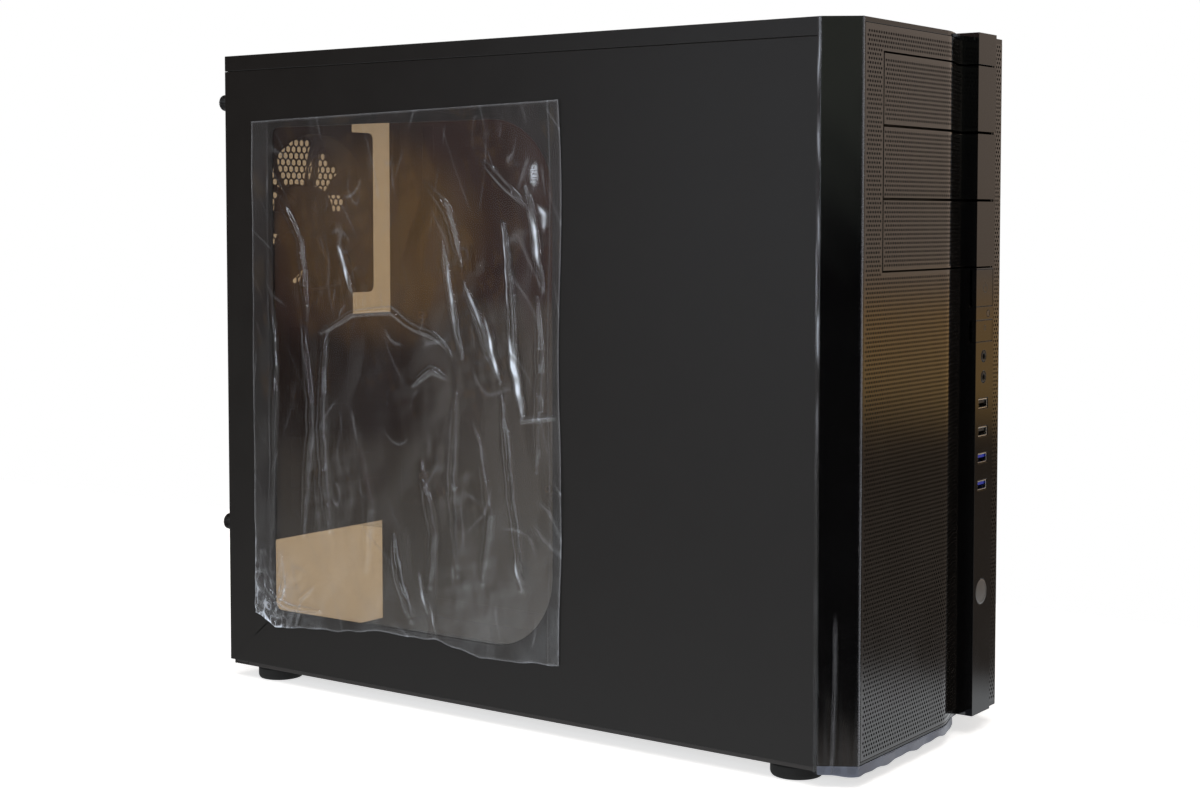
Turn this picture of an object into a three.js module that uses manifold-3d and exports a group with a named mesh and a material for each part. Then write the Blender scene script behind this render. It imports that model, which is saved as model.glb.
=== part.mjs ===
// A mid-tower desktop computer case with a windowed side panel, a perforated front and a port column.
// Millimetres, +Z up. The front faces -Y, the window side is -X, and the feet stand on Z = 0.
import * as THREE from "three";
import { mergeVertices } from "three/addons/utils/BufferGeometryUtils.js";
import Module from "manifold-3d";

const wasm = await Module();
wasm.setup();

// ---- Driving dimensions ----
const WIDTH = 214; // across the two side panels
const SIDE = WIDTH / 2;
const REAR = 250; // rear face of the side panels' folded edges
const JOINT = -235.5; // front edge of the side panels, where the bezel begins
const FRONT = -256; // plane of the perforated front
const BODY_BOTTOM = 11.5; // lower edge of the side panels
const BODY_TOP = 446;
const SHEET = 1; // steel sheet
const PLASTIC = 2; // moulded wall
const GAP = 0.3; // between neighbouring parts

const TOP_FOLD = 10.7; // how far the top cover comes down over the sides
const BASE_BOTTOM = 8.5;
const CHASSIS_HALF = SIDE - 2; // chassis side flanges, just inside the side panels
const CHASSIS_REAR = 247.6;
const CHASSIS_FRONT = -234.5;
const PANEL_FOLD = 14; // width of the side panels' rear fold

const FOOT_RADIUS = 16;
const FOOT_INSET = 18; // foot centre from the side
const FOOT_REAR_Y = 217;
const FOOT_FRONT_Y = -212;

const SCREW_X = SIDE - 8; // thumbscrew centre from the middle
const SCREW_HEIGHTS = [110.5, 413.5];
const SCREW_HEAD_RADIUS = 5.8;
const SCREW_HEAD_LENGTH = 8.7;
const SCREW_SHANK_RADIUS = 1.7;
const SCREW_HOLE_RADIUS = 2.3;

const WINDOW = { rear: 204, front: -43, low: 53, high: 394.5, square: 6, round: 50 };
const PANE_LAP = 8; // how far the pane laps behind the panel
const PANE_THICK = 2;
const FILM = { rear: 223, front: -50, low: 47.5, high: 401.5, thick: 1.2 };
const CORNER_FILM = { thick: 0.6, drop: 3.2, high: 440, flapEnd: 30 };

const CHAMFER_WIDE = 13; // bezel corner seen from the front
const BAY_PITCH = 42.7; // height of one 5.25 inch bay
const BAY_TOP = 427.5;
const BAY_LOW = BAY_TOP - 3 * BAY_PITCH;
const BAY_LEFT = -69;
const COVE_START = 14.8; // where the perforated front starts to recede
const COVE_DEEP = 8;
const COLUMN_LEFT = 52.7;
const COLUMN_RIGHT = 79;
const COLUMN_FRONT = FRONT - 3;
const COLUMN_BACK = -241.5;
const COLUMN_CAP_TOP = BODY_TOP + 1.6;
const RIM = 3; // smooth rim round the perforated front

const POWER_KEY = { low: 274.5, high: 298.4 };
const RESET_KEY = { low: 252, high: 266 };
const KEY_THICK = 3;
const KEY_STEM = 6;
const LED_HEIGHT = 270;
const BADGE_HEIGHT = 91;
const PORT_X = 64.5; // middle of the sockets and the badge
const LED_X = PORT_X + 6;
const JACK_HEIGHTS = [242.8, 229.5];
const USB_HEIGHTS = [212.5, 194.5, 177.5, 160];
const USB = { wide: 13.4, tall: 6.2, deep: 14, wall: 0.7 };
const JACK = { radius: 3.6, bore: 1.8, deep: 12 };
const BOARD = { low: 145, high: 296 };

const FAN = { size: 120, deep: 25, bore: 57.5, hub: 19, blades: 7, hole: 52.5 };
const REAR_FAN = { x: -43, z: 335 };
const FRONT_FAN = { x: 5, z: 92 };
const IO_CUT = { left: 21, right: 65, low: 257, high: 415 };
const PSU_CUT = { left: -88, right: 54, low: 15, high: 93 };
const SLOT_PITCH = 20.32;
const SLOT_COUNT = 7;
const SLOT_LOW = 112;
const SLOT = { left: -42, right: 58, tall: 13 };
const VENT_PITCH = 13;

const TRAY_X = 75; // motherboard tray
const TRAY = { front: -48, rear: 246.3, low: 104, high: 432 };
const CPU_CUT = { front: 92, rear: 222, low: 288, high: 402 };
const CABLE_HOLES = [[-36, -14, 130, 185], [-36, -14, 205, 260], [-36, -14, 280, 335]];
const CAGE = { left: -72, right: 82, front: -232.5, rear: -62, low: 297.5, high: 440 };
const DRIVE = { left: -51, right: 60, front: -200, rear: -64, low: 9.8, pitch: 31, count: 4 };
const DRIVE_TRAVEL_CLEAR = 0.5;
const FILTER = { wide: 142, front: 70, rear: 246, low: 3.6, high: 6.6 };
const PSU_VENT = { left: -64, right: 64, front: 88, rear: 212, bars: 8 };

const BLACK_STEEL = { color: 0x1a1816, roughness: 0.55, metalness: 0.3 };
const DARK_STEEL = { color: 0x1c1917, roughness: 0.6, metalness: 0.3 };
const GLOSS_BLACK = { color: 0x070707, roughness: 0.12, metalness: 0 };
const MATTE_BLACK = { color: 0x17130f, roughness: 0.6, metalness: 0 };
const RUBBER = { color: 0x0c0c0c, roughness: 0.85, metalness: 0 };
const CLEAR = { color: 0xcfd6da, roughness: 0.1, metalness: 0, transparent: true, opacity: 0.3 };
const FILM_CLEAR = { color: 0xb9c2cc, roughness: 0.2, metalness: 0, transparent: true, opacity: 0.4 };
const SILVER = { color: 0xb9b9b6, roughness: 0.3, metalness: 1 };
const BLUE = { color: 0x1b3fc4, roughness: 0.4, metalness: 0 };
const GREEN = { color: 0x14381f, roughness: 0.5, metalness: 0 };
const GREY = { color: 0x77746f, roughness: 0.45, metalness: 0.2 };

// ---- Solids ----
const tower = new THREE.Group();
tower.position.x = FILM.thick / 2 + GAP / 2; // the origin lies in the middle of the footprint

// Points snap to a fine grid, so that faces meant to be level with each other are exactly so.
const SNAP = 1 / 512;

function solid(geometry) {
  const bare = geometry.index ? geometry.toNonIndexed() : geometry.clone();
  bare.deleteAttribute("normal");
  bare.deleteAttribute("uv");
  const snapped = Array.from(bare.attributes.position.array, (v) => Math.round(v / SNAP) * SNAP);
  bare.setAttribute("position", new THREE.Float32BufferAttribute(snapped, 3));
  const merged = mergeVertices(bare, 1e-4);
  return new wasm.Manifold(
    new wasm.Mesh({
      numProp: 3,
      vertProperties: new Float32Array(merged.attributes.position.array),
      triVerts: new Uint32Array(merged.index.array),
    }),
  );
}

function box(x0, x1, y0, y1, z0, z1) {
  const geometry = new THREE.BoxGeometry(x1 - x0, y1 - y0, z1 - z0);
  return solid(geometry.translate((x0 + x1) / 2, (y0 + y1) / 2, (z0 + z1) / 2));
}

// A cylinder along Y.
function rod(x, z, radius, y0, y1, sides = 24) {
  const geometry = new THREE.CylinderGeometry(radius, radius, y1 - y0, sides);
  return solid(geometry.translate(x, (y0 + y1) / 2, 0).translate(0, 0, z));
}

// An outline drawn in X and Y, drawn up from z0 to z1.
function upright(points, z0, z1) {
  const shape = new THREE.Shape(points.map(([x, y]) => new THREE.Vector2(x, y)));
  const geometry = new THREE.ExtrudeGeometry(shape, { depth: z1 - z0, bevelEnabled: false });
  return solid(geometry.translate(0, 0, z0));
}

// A shape drawn in Y and Z, drawn across from x0 to x1.
function across(shape, x0, x1, curveSegments = 8) {
  const geometry = new THREE.ExtrudeGeometry(shape, { depth: x1 - x0, bevelEnabled: false, curveSegments });
  geometry.applyMatrix4(new THREE.Matrix4().set(0, 0, 1, x0, 1, 0, 0, 0, 0, 1, 0, 0, 0, 0, 0, 1));
  return solid(geometry);
}

const join = (...parts) => parts.reduce((sum, part) => sum.add(part));
const cut = (body, ...tools) => tools.reduce((left, tool) => left.subtract(tool), body);

// Joins leave slivers where faces are level with each other, so a finished solid drops them.
const SLIVER = 0.02;

function add(name, shape, finish) {
  const { vertProperties, triVerts } = shape.asOriginal().simplify(SLIVER).getMesh();
  const geometry = new THREE.BufferGeometry();
  geometry.setAttribute("position", new THREE.BufferAttribute(vertProperties, 3));
  geometry.setIndex(new THREE.BufferAttribute(triVerts, 1));
  const flat = geometry.toNonIndexed();
  flat.computeVertexNormals();
  const mesh = new THREE.Mesh(flat, new THREE.MeshStandardMaterial(finish));
  mesh.name = name;
  tower.add(mesh);
}

// ---- Steel chassis ----
function chassisBase() {
  const front = CHASSIS_FRONT + SHEET + GAP;
  const rear = CHASSIS_REAR - SHEET - GAP;
  const floor = box(-CHASSIS_HALF, CHASSIS_HALF, front, rear, BASE_BOTTOM, BASE_BOTTOM + SHEET);
  const sides = [-1, 1].map((s) => {
    const [x0, x1] = s < 0 ? [-CHASSIS_HALF, -CHASSIS_HALF + SHEET] : [CHASSIS_HALF - SHEET, CHASSIS_HALF];
    return box(x0, x1, front, 234, BASE_BOTTOM, 24);
  });
  const barGap = (PSU_VENT.right - PSU_VENT.left) / PSU_VENT.bars;
  const slots = [];
  for (let i = 0; i < PSU_VENT.bars; i += 1) {
    const left = PSU_VENT.left + i * barGap + 3;
    slots.push(box(left, left + barGap - 6, PSU_VENT.front, PSU_VENT.rear, 0, 20));
  }
  return cut(join(floor, ...sides), ...slots);
}

function topCover() {
  const sheet = box(-SIDE, SIDE, JOINT, REAR, BODY_TOP - SHEET, BODY_TOP);
  const low = BODY_TOP - TOP_FOLD;
  return join(
    sheet,
    box(-SIDE, -SIDE + SHEET, JOINT, REAR, low, BODY_TOP),
    box(SIDE - SHEET, SIDE, JOINT, REAR, low, BODY_TOP),
    box(-SIDE, SIDE, REAR - SHEET, REAR, low, BODY_TOP),
  );
}

function hexagon(x, z, radius) {
  const geometry = new THREE.CylinderGeometry(radius, radius, 10, 6);
  return solid(geometry.translate(x, CHASSIS_REAR, z));
}

function rearPanel() {
  const top = BODY_TOP - SHEET - GAP;
  const front = CHASSIS_REAR - SHEET;
  let panel = join(
    box(-CHASSIS_HALF, CHASSIS_HALF, front, CHASSIS_REAR, BASE_BOTTOM, top),
    box(-CHASSIS_HALF, -CHASSIS_HALF + SHEET, 236, CHASSIS_REAR, 26, top),
    box(CHASSIS_HALF - SHEET, CHASSIS_HALF, 236, CHASSIS_REAR, 26, top),
  );
  panel = cut(
    panel,
    box(IO_CUT.left, IO_CUT.right, 240, REAR, IO_CUT.low, IO_CUT.high),
    box(PSU_CUT.left, PSU_CUT.right, 240, REAR, PSU_CUT.low, PSU_CUT.high),
  );
  for (let i = 0; i < SLOT_COUNT; i += 1) {
    const low = SLOT_LOW + i * SLOT_PITCH;
    panel = cut(panel, box(SLOT.left, SLOT.right, 240, REAR, low, low + SLOT.tall));
  }
  const rowStep = VENT_PITCH * Math.sqrt(3) / 2;
  for (let row = -5; row <= 5; row += 1) {
    for (let column = -5; column <= 5; column += 1) {
      const dx = (column + (row % 2 ? 0.5 : 0)) * VENT_PITCH;
      const dz = row * rowStep;
      if (Math.hypot(dx, dz) > FAN.bore - VENT_PITCH / 2) continue;
      panel = cut(panel, hexagon(REAR_FAN.x + dx, REAR_FAN.z + dz, VENT_PITCH * 0.48));
    }
  }
  for (const z of SCREW_HEIGHTS) {
    for (const s of [-1, 1]) {
      panel = cut(panel, rod(s * SCREW_X, z, SCREW_HOLE_RADIUS, 244, REAR, 12));
    }
  }
  return panel;
}

function frontFrame() {
  const top = BODY_TOP - SHEET - GAP;
  const back = CHASSIS_FRONT + SHEET;
  const flanges = [-1, 1].map((s) => {
    const [x0, x1] = s < 0 ? [-CHASSIS_HALF, -CHASSIS_HALF + SHEET] : [CHASSIS_HALF - SHEET, CHASSIS_HALF];
    return box(x0, x1, CHASSIS_FRONT, -215, 26, top);
  });
  const plate = box(-CHASSIS_HALF, CHASSIS_HALF, CHASSIS_FRONT, back, BASE_BOTTOM + SHEET + GAP, top);
  return cut(
    join(plate, ...flanges),
    box(BAY_LEFT, COLUMN_RIGHT, -240, -230, BAY_LOW, BAY_TOP),
    rod(FRONT_FAN.x, FRONT_FAN.z, FAN.bore, -240, -230, 40),
    box(PORT_X - 9, PORT_X + 9, -240, -230, BOARD.low, 250),
    ...[168, 196, 224, 252, 274].map((z) => box(-50, 48, -240, -230, z, z + 10)),
  );
}

function motherboardTray() {
  const plate = box(TRAY_X, TRAY_X + SHEET, TRAY.front, TRAY.rear, TRAY.low, TRAY.high);
  const wing = box(TRAY_X, CHASSIS_HALF, TRAY.front, TRAY.front + SHEET, TRAY.low, TRAY.high);
  const lip = box(TRAY_X, CHASSIS_HALF - 2, TRAY.front, 234, TRAY.high - SHEET, TRAY.high);
  const holes = CABLE_HOLES.map(([y0, y1, z0, z1]) => box(70, 80, y0, y1, z0, z1));
  const cpu = box(70, 80, CPU_CUT.front, CPU_CUT.rear, CPU_CUT.low, CPU_CUT.high);
  return cut(join(plate, wing, lip), cpu, ...holes);
}

function grommet([y0, y1, z0, z1]) {
  const middle = TRAY_X + SHEET / 2;
  const ring = box(middle - 2.2, middle + 2.2, y0 + GAP, y1 - GAP, z0 + GAP, z1 - GAP);
  return cut(ring, box(70, 80, y0 + 3, y1 - 3, z0 + 3, z1 - 3));
}

function slotCover(index) {
  const low = SLOT_LOW + index * SLOT_PITCH - 2.6;
  const front = CHASSIS_REAR - SHEET - GAP - SHEET;
  const plate = box(SLOT.left - 6, SLOT.right + 5, front, front + SHEET, low, low + 18.4);
  const tab = box(SLOT.left - 6, SLOT.left - 5, front - 9, front + SHEET, low, low + 18.4);
  return join(plate, tab);
}

// ---- Side panels ----
function windowOutline(grow) {
  const { rear, front, low, high, square, round } = WINDOW;
  const [y0, y1, z0, z1] = [front - grow, rear + grow, low - grow, high + grow];
  const shape = new THREE.Shape();
  shape.moveTo(y1 - square, z0);
  shape.absarc(y1 - square, z0 + square, square, -Math.PI / 2, 0, false);
  shape.absarc(y1 - square, z1 - square, square, 0, Math.PI / 2, false);
  shape.absarc(y0 + round, z1 - round, round, Math.PI / 2, Math.PI, false);
  shape.absarc(y0 + round, z0 + round, round, Math.PI, Math.PI * 1.5, false);
  return shape;
}

function sidePanel(side, hasWindow) {
  const outer = side * SIDE;
  const inner = side * (SIDE - SHEET);
  const [x0, x1] = [Math.min(outer, inner), Math.max(outer, inner)];
  const high = BODY_TOP - TOP_FOLD - GAP;
  const fold = side * (SIDE - PANEL_FOLD);
  let panel = join(
    box(x0, x1, JOINT + GAP, REAR, BODY_BOTTOM, high),
    box(Math.min(outer, fold), Math.max(outer, fold), REAR - SHEET, REAR, BODY_BOTTOM, high),
  );
  if (hasWindow) panel = cut(panel, across(windowOutline(0), x0 - 5, x1 + 5));
  for (const z of SCREW_HEIGHTS) {
    panel = cut(panel, rod(side * SCREW_X, z, SCREW_HOLE_RADIUS, 244, REAR + 5, 12));
  }
  return panel;
}

function sideWindow() {
  const outer = -SIDE + SHEET + GAP;
  return across(windowOutline(PANE_LAP), outer, outer + PANE_THICK);
}

function windowFilm() {
  const outer = -SIDE - GAP - FILM.thick;
  return box(outer, outer + FILM.thick, FILM.front, FILM.rear, FILM.low, FILM.high);
}

function thumbscrew(side, z) {
  const x = side * SCREW_X;
  const seat = REAR + GAP;
  return join(
    rod(x, z, SCREW_HEAD_RADIUS, seat, seat + SCREW_HEAD_LENGTH, 20),
    rod(x, z, SCREW_SHANK_RADIUS, 240, seat + 1, 12),
  );
}

function foot(x, y) {
  const bottom = FOOT_RADIUS - 1.5;
  const outline = [[0, 0], [bottom, 0], [FOOT_RADIUS, 1.5], [FOOT_RADIUS, BASE_BOTTOM - GAP], [0, BASE_BOTTOM - GAP]];
  const profile = outline.map(([r, h]) => new THREE.Vector2(r, h));
  const geometry = new THREE.LatheGeometry(profile, 28).rotateX(Math.PI / 2);
  return solid(geometry.translate(x, y, 0));
}

// ---- Fans ----
function fanFrame(x, z, y0, strutsAtRear) {
  const half = FAN.size / 2;
  const y1 = y0 + FAN.deep;
  const [s0, s1] = strutsAtRear ? [y1 - 3, y1] : [y0, y0 + 3];
  let frame = cut(box(x - half, x + half, y0, y1, z - half, z + half), rod(x, z, FAN.bore, y0 - 5, y1 + 5, 40));
  frame = join(
    frame,
    rod(x, z, FAN.hub + 1, s0, s1, 24),
    box(x - half + 1, x + half - 1, s0, s1, z - 3, z + 3),
    box(x - 3, x + 3, s0, s1, z - half + 1, z + half - 1),
  );
  for (const sx of [-1, 1]) {
    for (const sz of [-1, 1]) {
      frame = cut(frame, rod(x + sx * FAN.hole, z + sz * FAN.hole, 2.2, y0 - 5, y1 + 5, 8));
    }
  }
  return frame;
}

function fanRotor(x, z, y0, strutsAtRear) {
  const [r0, r1] = strutsAtRear ? [y0 + 1, y0 + FAN.deep - 3.8] : [y0 + 3.8, y0 + FAN.deep - 1];
  const middle = (r0 + r1) / 2;
  let rotor = rod(x, z, FAN.hub, r0, r1, 28);
  const sweep = rod(x, z, FAN.bore - 1.5, r0 + 0.8, r1 - 0.8, 40);
  for (let i = 0; i < FAN.blades; i += 1) {
    const angle = (2 * Math.PI * i) / FAN.blades;
    const blade = new THREE.BoxGeometry(FAN.bore, 1.8, 36);
    blade.translate(FAN.bore / 2 + 4, 0, 0).rotateX(0.62).rotateY(angle);
    rotor = join(rotor, solid(blade.translate(x, middle, z)).intersect(sweep));
  }
  return rotor;
}

// ---- Drive bays ----
function opticalCage() {
  const { left, right, front, rear, low, high } = CAGE;
  const windows = [0, 1, 2].map((i) => {
    const z = BAY_LOW + (i + 0.5) * BAY_PITCH;
    return box(left - 5, right + 5, -190, -100, z - 8, z + 8);
  });
  return cut(
    join(
      box(left, left + SHEET, front, rear, low, high),
      box(right - SHEET, right, front, rear, low, high),
      box(left, right, front, rear, low, low + SHEET),
    ),
    ...windows,
  );
}

const DRIVE_HIGH = DRIVE.low + DRIVE.pitch * DRIVE.count + 2;
const trayLow = (index) => DRIVE.low + 2 + index * DRIVE.pitch;

function driveCage() {
  const { left, right, front, rear, low } = DRIVE;
  let cage = join(
    box(left, left + SHEET, front, rear, low, DRIVE_HIGH),
    box(right - SHEET, right, front, rear, low, DRIVE_HIGH),
    box(left, right, front, rear, low, low + SHEET),
    box(left, right, front, rear, DRIVE_HIGH - SHEET, DRIVE_HIGH),
  );
  for (let i = 1; i < DRIVE.count; i += 1) {
    const shelf = trayLow(i) - DRIVE_TRAVEL_CLEAR;
    cage = join(
      cage,
      box(left, left + 5, front, rear, shelf - SHEET, shelf),
      box(right - 5, right, front, rear, shelf - SHEET, shelf),
    );
  }
  for (let i = 0; i < DRIVE.count; i += 1) {
    const z = trayLow(i) + 12;
    cage = cut(cage, box(left - 5, right + 5, -180, -90, z - 4, z + 8));
  }
  return cage;
}

function driveTray(index) {
  const low = trayLow(index);
  const left = DRIVE.left + SHEET + DRIVE_TRAVEL_CLEAR;
  const right = DRIVE.right - SHEET - DRIVE_TRAVEL_CLEAR;
  const front = DRIVE.front + 2;
  const handle = DRIVE.rear + 1;
  return cut(
    join(
      box(left, right, front, handle + 3, low, low + 2),
      box(left, left + 2.4, front, handle + 3, low, low + 16),
      box(right - 2.4, right, front, handle + 3, low, low + 16),
      box(left, right, handle, handle + 3, low, low + 27),
    ),
    box(left + 20, right - 20, handle - 5, handle + 8, low + 7, low + 21),
  );
}

function dustFilter() {
  const half = FILTER.wide / 2;
  const { front, rear, low, high } = FILTER;
  const plate = box(-half, half, front, rear, low, high);
  const ribs = [];
  for (let i = 0; i < 4; i += 1) {
    const left = -half + 6 + i * ((FILTER.wide - 12) / 4);
    ribs.push(box(left + 1.5, left + (FILTER.wide - 12) / 4 - 1.5, front + 8, rear - 20, 0, 10));
  }
  const grip = box(-22, 22, rear - 4, rear + 3.7, low, high + 1.2);
  return cut(join(plate, grip), ...ribs);
}

// ---- Front bezel ----
const coveEnd = COLUMN_LEFT - GAP;

// The perforated skin seen from above: flat, then receding into the cove beside the port column.
function frontSkin(left, thick) {
  const steps = 8;
  const curve = [];
  for (let i = 0; i <= steps; i += 1) {
    const t = i / steps;
    curve.push([COVE_START + t * (coveEnd - COVE_START), FRONT + COVE_DEEP * t * t * (3 - 2 * t)]);
  }
  const inner = curve.map(([x, y]) => [x, y + thick]).reverse();
  return [[left, FRONT], ...curve, ...inner, [left, FRONT + thick]];
}

function bezelCorner(side) {
  const outer = side * SIDE;
  const shoulder = side * (SIDE - CHAMFER_WIDE);
  const inset = side * -PLASTIC;
  const points = [
    [outer, JOINT],
    [shoulder, FRONT],
    [shoulder + inset, FRONT],
    [shoulder + inset, FRONT + 4],
    [outer + inset * 1.2, JOINT],
  ];
  return side < 0 ? points.reverse() : points;
}

function frontBezel() {
  const low = BODY_BOTTOM;
  const high = BODY_TOP;
  const corners = [-1, 1].map((s) => upright(bezelCorner(s), low, high));
  const plan = [
    [-SIDE, JOINT],
    [-SIDE + CHAMFER_WIDE, FRONT],
    [SIDE - CHAMFER_WIDE, FRONT],
    [SIDE, JOINT],
  ];
  const rims = join(upright(plan, low, low + RIM), upright(plan, high - RIM, high));
  const margin = box(COLUMN_RIGHT + GAP, SIDE - CHAMFER_WIDE, FRONT, FRONT + PLASTIC, low, high);
  const ledge = [
    box(-SIDE + 14, BAY_LEFT - 1, FRONT + 3, FRONT + 5, BAY_LOW - 8, BAY_TOP + 6),
    box(-SIDE + 14, COLUMN_LEFT, -243, -240.5, BAY_LOW - 8, BAY_LOW - 1),
    box(-SIDE + 14, COLUMN_LEFT, -243, -240.5, BAY_TOP + 1, high),
    box(-SIDE + 14, -SIDE + 18, FRONT + 3, JOINT, low, high),
    box(-SIDE + 14, BAY_LEFT - 1, -243, -240.5, BAY_LOW - 8, BAY_TOP + 6),
    box(-SIDE + 14, -SIDE + 18, FRONT + 3, -240.5, BAY_LOW - 8, BAY_TOP + 6),
    box(COLUMN_RIGHT + GAP, COLUMN_RIGHT + 2, FRONT, -238, low, high),
    box(COLUMN_LEFT - 3, COLUMN_LEFT - 1, -243.2 + 2, -238, low, BAY_LOW - 1),
    box(COLUMN_LEFT - 3, COLUMN_RIGHT + 2, -240, -238, low, BOARD.low - 10),
  ];
  const cap = box(COLUMN_LEFT, COLUMN_RIGHT, COLUMN_FRONT, -241, BAY_TOP + GAP, COLUMN_CAP_TOP);
  const capHollow = box(COLUMN_LEFT + 2, COLUMN_RIGHT - 2, COLUMN_FRONT + 2, -230, BAY_TOP - 5, high - RIM);
  const shell = cut(
    join(...corners, rims, margin, ...ledge),
    box(COLUMN_LEFT - GAP, COLUMN_RIGHT + GAP, FRONT - 9, -240.9, low - 5, BAY_TOP + GAP),
    upright([...frontSkin(-120, 0.01).slice(1, 10), [COLUMN_LEFT, -300], [COVE_START, -300]], 0, 500),
  );
  return cut(join(shell, cap), capHollow);
}

function frontMesh() {
  const left = -SIDE + CHAMFER_WIDE + PLASTIC + GAP;
  const low = BODY_BOTTOM + RIM + GAP;
  const high = BODY_TOP - RIM - GAP;
  return cut(
    upright(frontSkin(left, SHEET), low, high),
    box(BAY_LEFT - 0.4, SIDE, FRONT - 9, -230, BAY_LOW - 0.4, BAY_TOP + 0.4),
  );
}

// A bay cover follows the perforated front, the cove and the column, and is open at the back.
function bayCover(index) {
  const low = BAY_LOW + index * BAY_PITCH + 0.4;
  const high = BAY_LOW + (index + 1) * BAY_PITCH - 0.4;
  const skin = frontSkin(BAY_LEFT + GAP, 1).slice(0, 10);
  const back = -238;
  const outline = [...skin, [COLUMN_LEFT, COLUMN_FRONT], [COLUMN_RIGHT, COLUMN_FRONT], [COLUMN_RIGHT, back], [BAY_LEFT + GAP, back]];
  const hollow = [
    [BAY_LEFT + 2.5, FRONT + PLASTIC],
    ...skin.slice(1, -1).map(([x, y]) => [x - 1, y + PLASTIC]),
    [COLUMN_LEFT + PLASTIC, FRONT + COVE_DEEP + PLASTIC],
    [COLUMN_LEFT + PLASTIC, COLUMN_FRONT + PLASTIC],
    [COLUMN_RIGHT - PLASTIC, COLUMN_FRONT + PLASTIC],
    [COLUMN_RIGHT - PLASTIC, back + 5],
    [BAY_LEFT + 2.5, back + 5],
  ];
  return cut(upright(outline, low, high), upright(hollow, low + 1.5, high - 1.5));
}

function column() {
  const low = BODY_BOTTOM + 0.4;
  const high = BAY_LOW - 0.2;
  let shell = box(COLUMN_LEFT, COLUMN_RIGHT, COLUMN_FRONT, COLUMN_BACK, low, high);
  const hollow = box(COLUMN_LEFT + 2, COLUMN_RIGHT - 2, COLUMN_FRONT + 2, COLUMN_BACK + 5, low + 2, high - 0.6);
  shell = cut(shell, hollow);
  for (const key of [POWER_KEY, RESET_KEY]) {
    shell = cut(shell, box(COLUMN_LEFT - 5, COLUMN_RIGHT - 2, COLUMN_FRONT - 5, COLUMN_FRONT + 5, key.low, key.high));
  }
  for (const z of USB_HEIGHTS) {
    const [w, h] = [USB.wide / 2 + GAP, USB.tall / 2 + GAP];
    shell = cut(shell, box(PORT_X - w, PORT_X + w, COLUMN_FRONT - 5, COLUMN_FRONT + 5, z - h, z + h));
  }
  for (const z of JACK_HEIGHTS) {
    shell = cut(shell, rod(PORT_X, z, JACK.radius + GAP, COLUMN_FRONT - 5, COLUMN_FRONT + 5, 20));
  }
  shell = cut(shell, rod(LED_X, LED_HEIGHT, 2 + GAP, COLUMN_FRONT - 5, COLUMN_FRONT + 5, 16));
  return cut(shell, rod(PORT_X, BADGE_HEIGHT, 8 + GAP, COLUMN_FRONT - 5, COLUMN_FRONT + 1, 24));
}

// Clear film on the left chamfer. Its loose lower end hangs below the bezel and runs along the front.
function bezelFilm() {
  const run = Math.hypot(CHAMFER_WIDE, JOINT - FRONT);
  const away = [(FRONT - JOINT) / run, -CHAMFER_WIDE / run];
  const offset = ([x, y], far) => [x + away[0] * far, y + away[1] * far];
  const rear = [-SIDE, JOINT];
  const front = [-SIDE + CHAMFER_WIDE, FRONT];
  const outer = GAP + CORNER_FILM.thick;
  const section = [offset(rear, GAP), offset(rear, outer), offset(front, outer), offset(front, GAP)];
  const low = BODY_BOTTOM - CORNER_FILM.drop;
  const flap = box(front[0] - 1, CORNER_FILM.flapEnd, FRONT - 0.5, FRONT + 0.5, low, BODY_BOTTOM - GAP);
  return join(upright(section, low, CORNER_FILM.high), flap);
}

// A key is a cap flush with the column, with a stem towards its switch.
function key({ low, high }) {
  const middle = (low + high) / 2;
  return join(
    box(COLUMN_LEFT, COLUMN_RIGHT - 2.4, COLUMN_FRONT, COLUMN_FRONT + KEY_THICK, low + GAP, high - GAP),
    box(PORT_X - 2, PORT_X + 2, COLUMN_FRONT + 1, COLUMN_FRONT + KEY_THICK + KEY_STEM, middle - 2, middle + 2),
  );
}

function usbPort(z) {
  const [w, h] = [USB.wide / 2, USB.tall / 2];
  const front = COLUMN_FRONT + 0.4;
  return cut(
    box(PORT_X - w, PORT_X + w, front, front + USB.deep, z - h, z + h),
    box(PORT_X - w + USB.wall, PORT_X + w - USB.wall, front - 5, front + USB.deep - 1, z - h + USB.wall, z + h - USB.wall),
  );
}

function audioJack(z) {
  const front = COLUMN_FRONT + 0.2;
  return cut(
    rod(PORT_X, z, JACK.radius, front, front + JACK.deep, 20),
    rod(PORT_X, z, JACK.bore, front - 5, front + JACK.deep - 1, 16),
  );
}

function frontIoBoard() {
  return box(COLUMN_LEFT + 2.5, COLUMN_RIGHT - 2.6, COLUMN_BACK - 2.2, COLUMN_BACK - 0.6, BOARD.low, BOARD.high);
}

// ---- Assembly ----
add("chassis_base", chassisBase(), DARK_STEEL);
add("top_cover", topCover(), BLACK_STEEL);
add("rear_panel", rearPanel(), DARK_STEEL);
add("front_frame", frontFrame(), DARK_STEEL);
add("motherboard_tray", motherboardTray(), DARK_STEEL);
CABLE_HOLES.forEach((hole, i) => add(`cable_grommet_${i + 1}`, grommet(hole), RUBBER));
for (let i = 0; i < SLOT_COUNT; i += 1) add(`slot_cover_${i + 1}`, slotCover(i), DARK_STEEL);

add("left_side_panel", sidePanel(-1, true), BLACK_STEEL);
add("right_side_panel", sidePanel(1, false), BLACK_STEEL);
add("side_window", sideWindow(), CLEAR);
add("window_film", windowFilm(), FILM_CLEAR);
for (const [sideName, side] of [["left", -1], ["right", 1]]) {
  for (const [heightName, z] of [["lower", SCREW_HEIGHTS[0]], ["upper", SCREW_HEIGHTS[1]]]) {
    add(`thumbscrew_${sideName}_${heightName}`, thumbscrew(side, z), BLACK_STEEL);
  }
  for (const [endName, y] of [["rear", FOOT_REAR_Y], ["front", FOOT_FRONT_Y]]) {
    add(`foot_${endName}_${sideName}`, foot(side * (SIDE - FOOT_INSET), y), RUBBER);
  }
}

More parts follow.
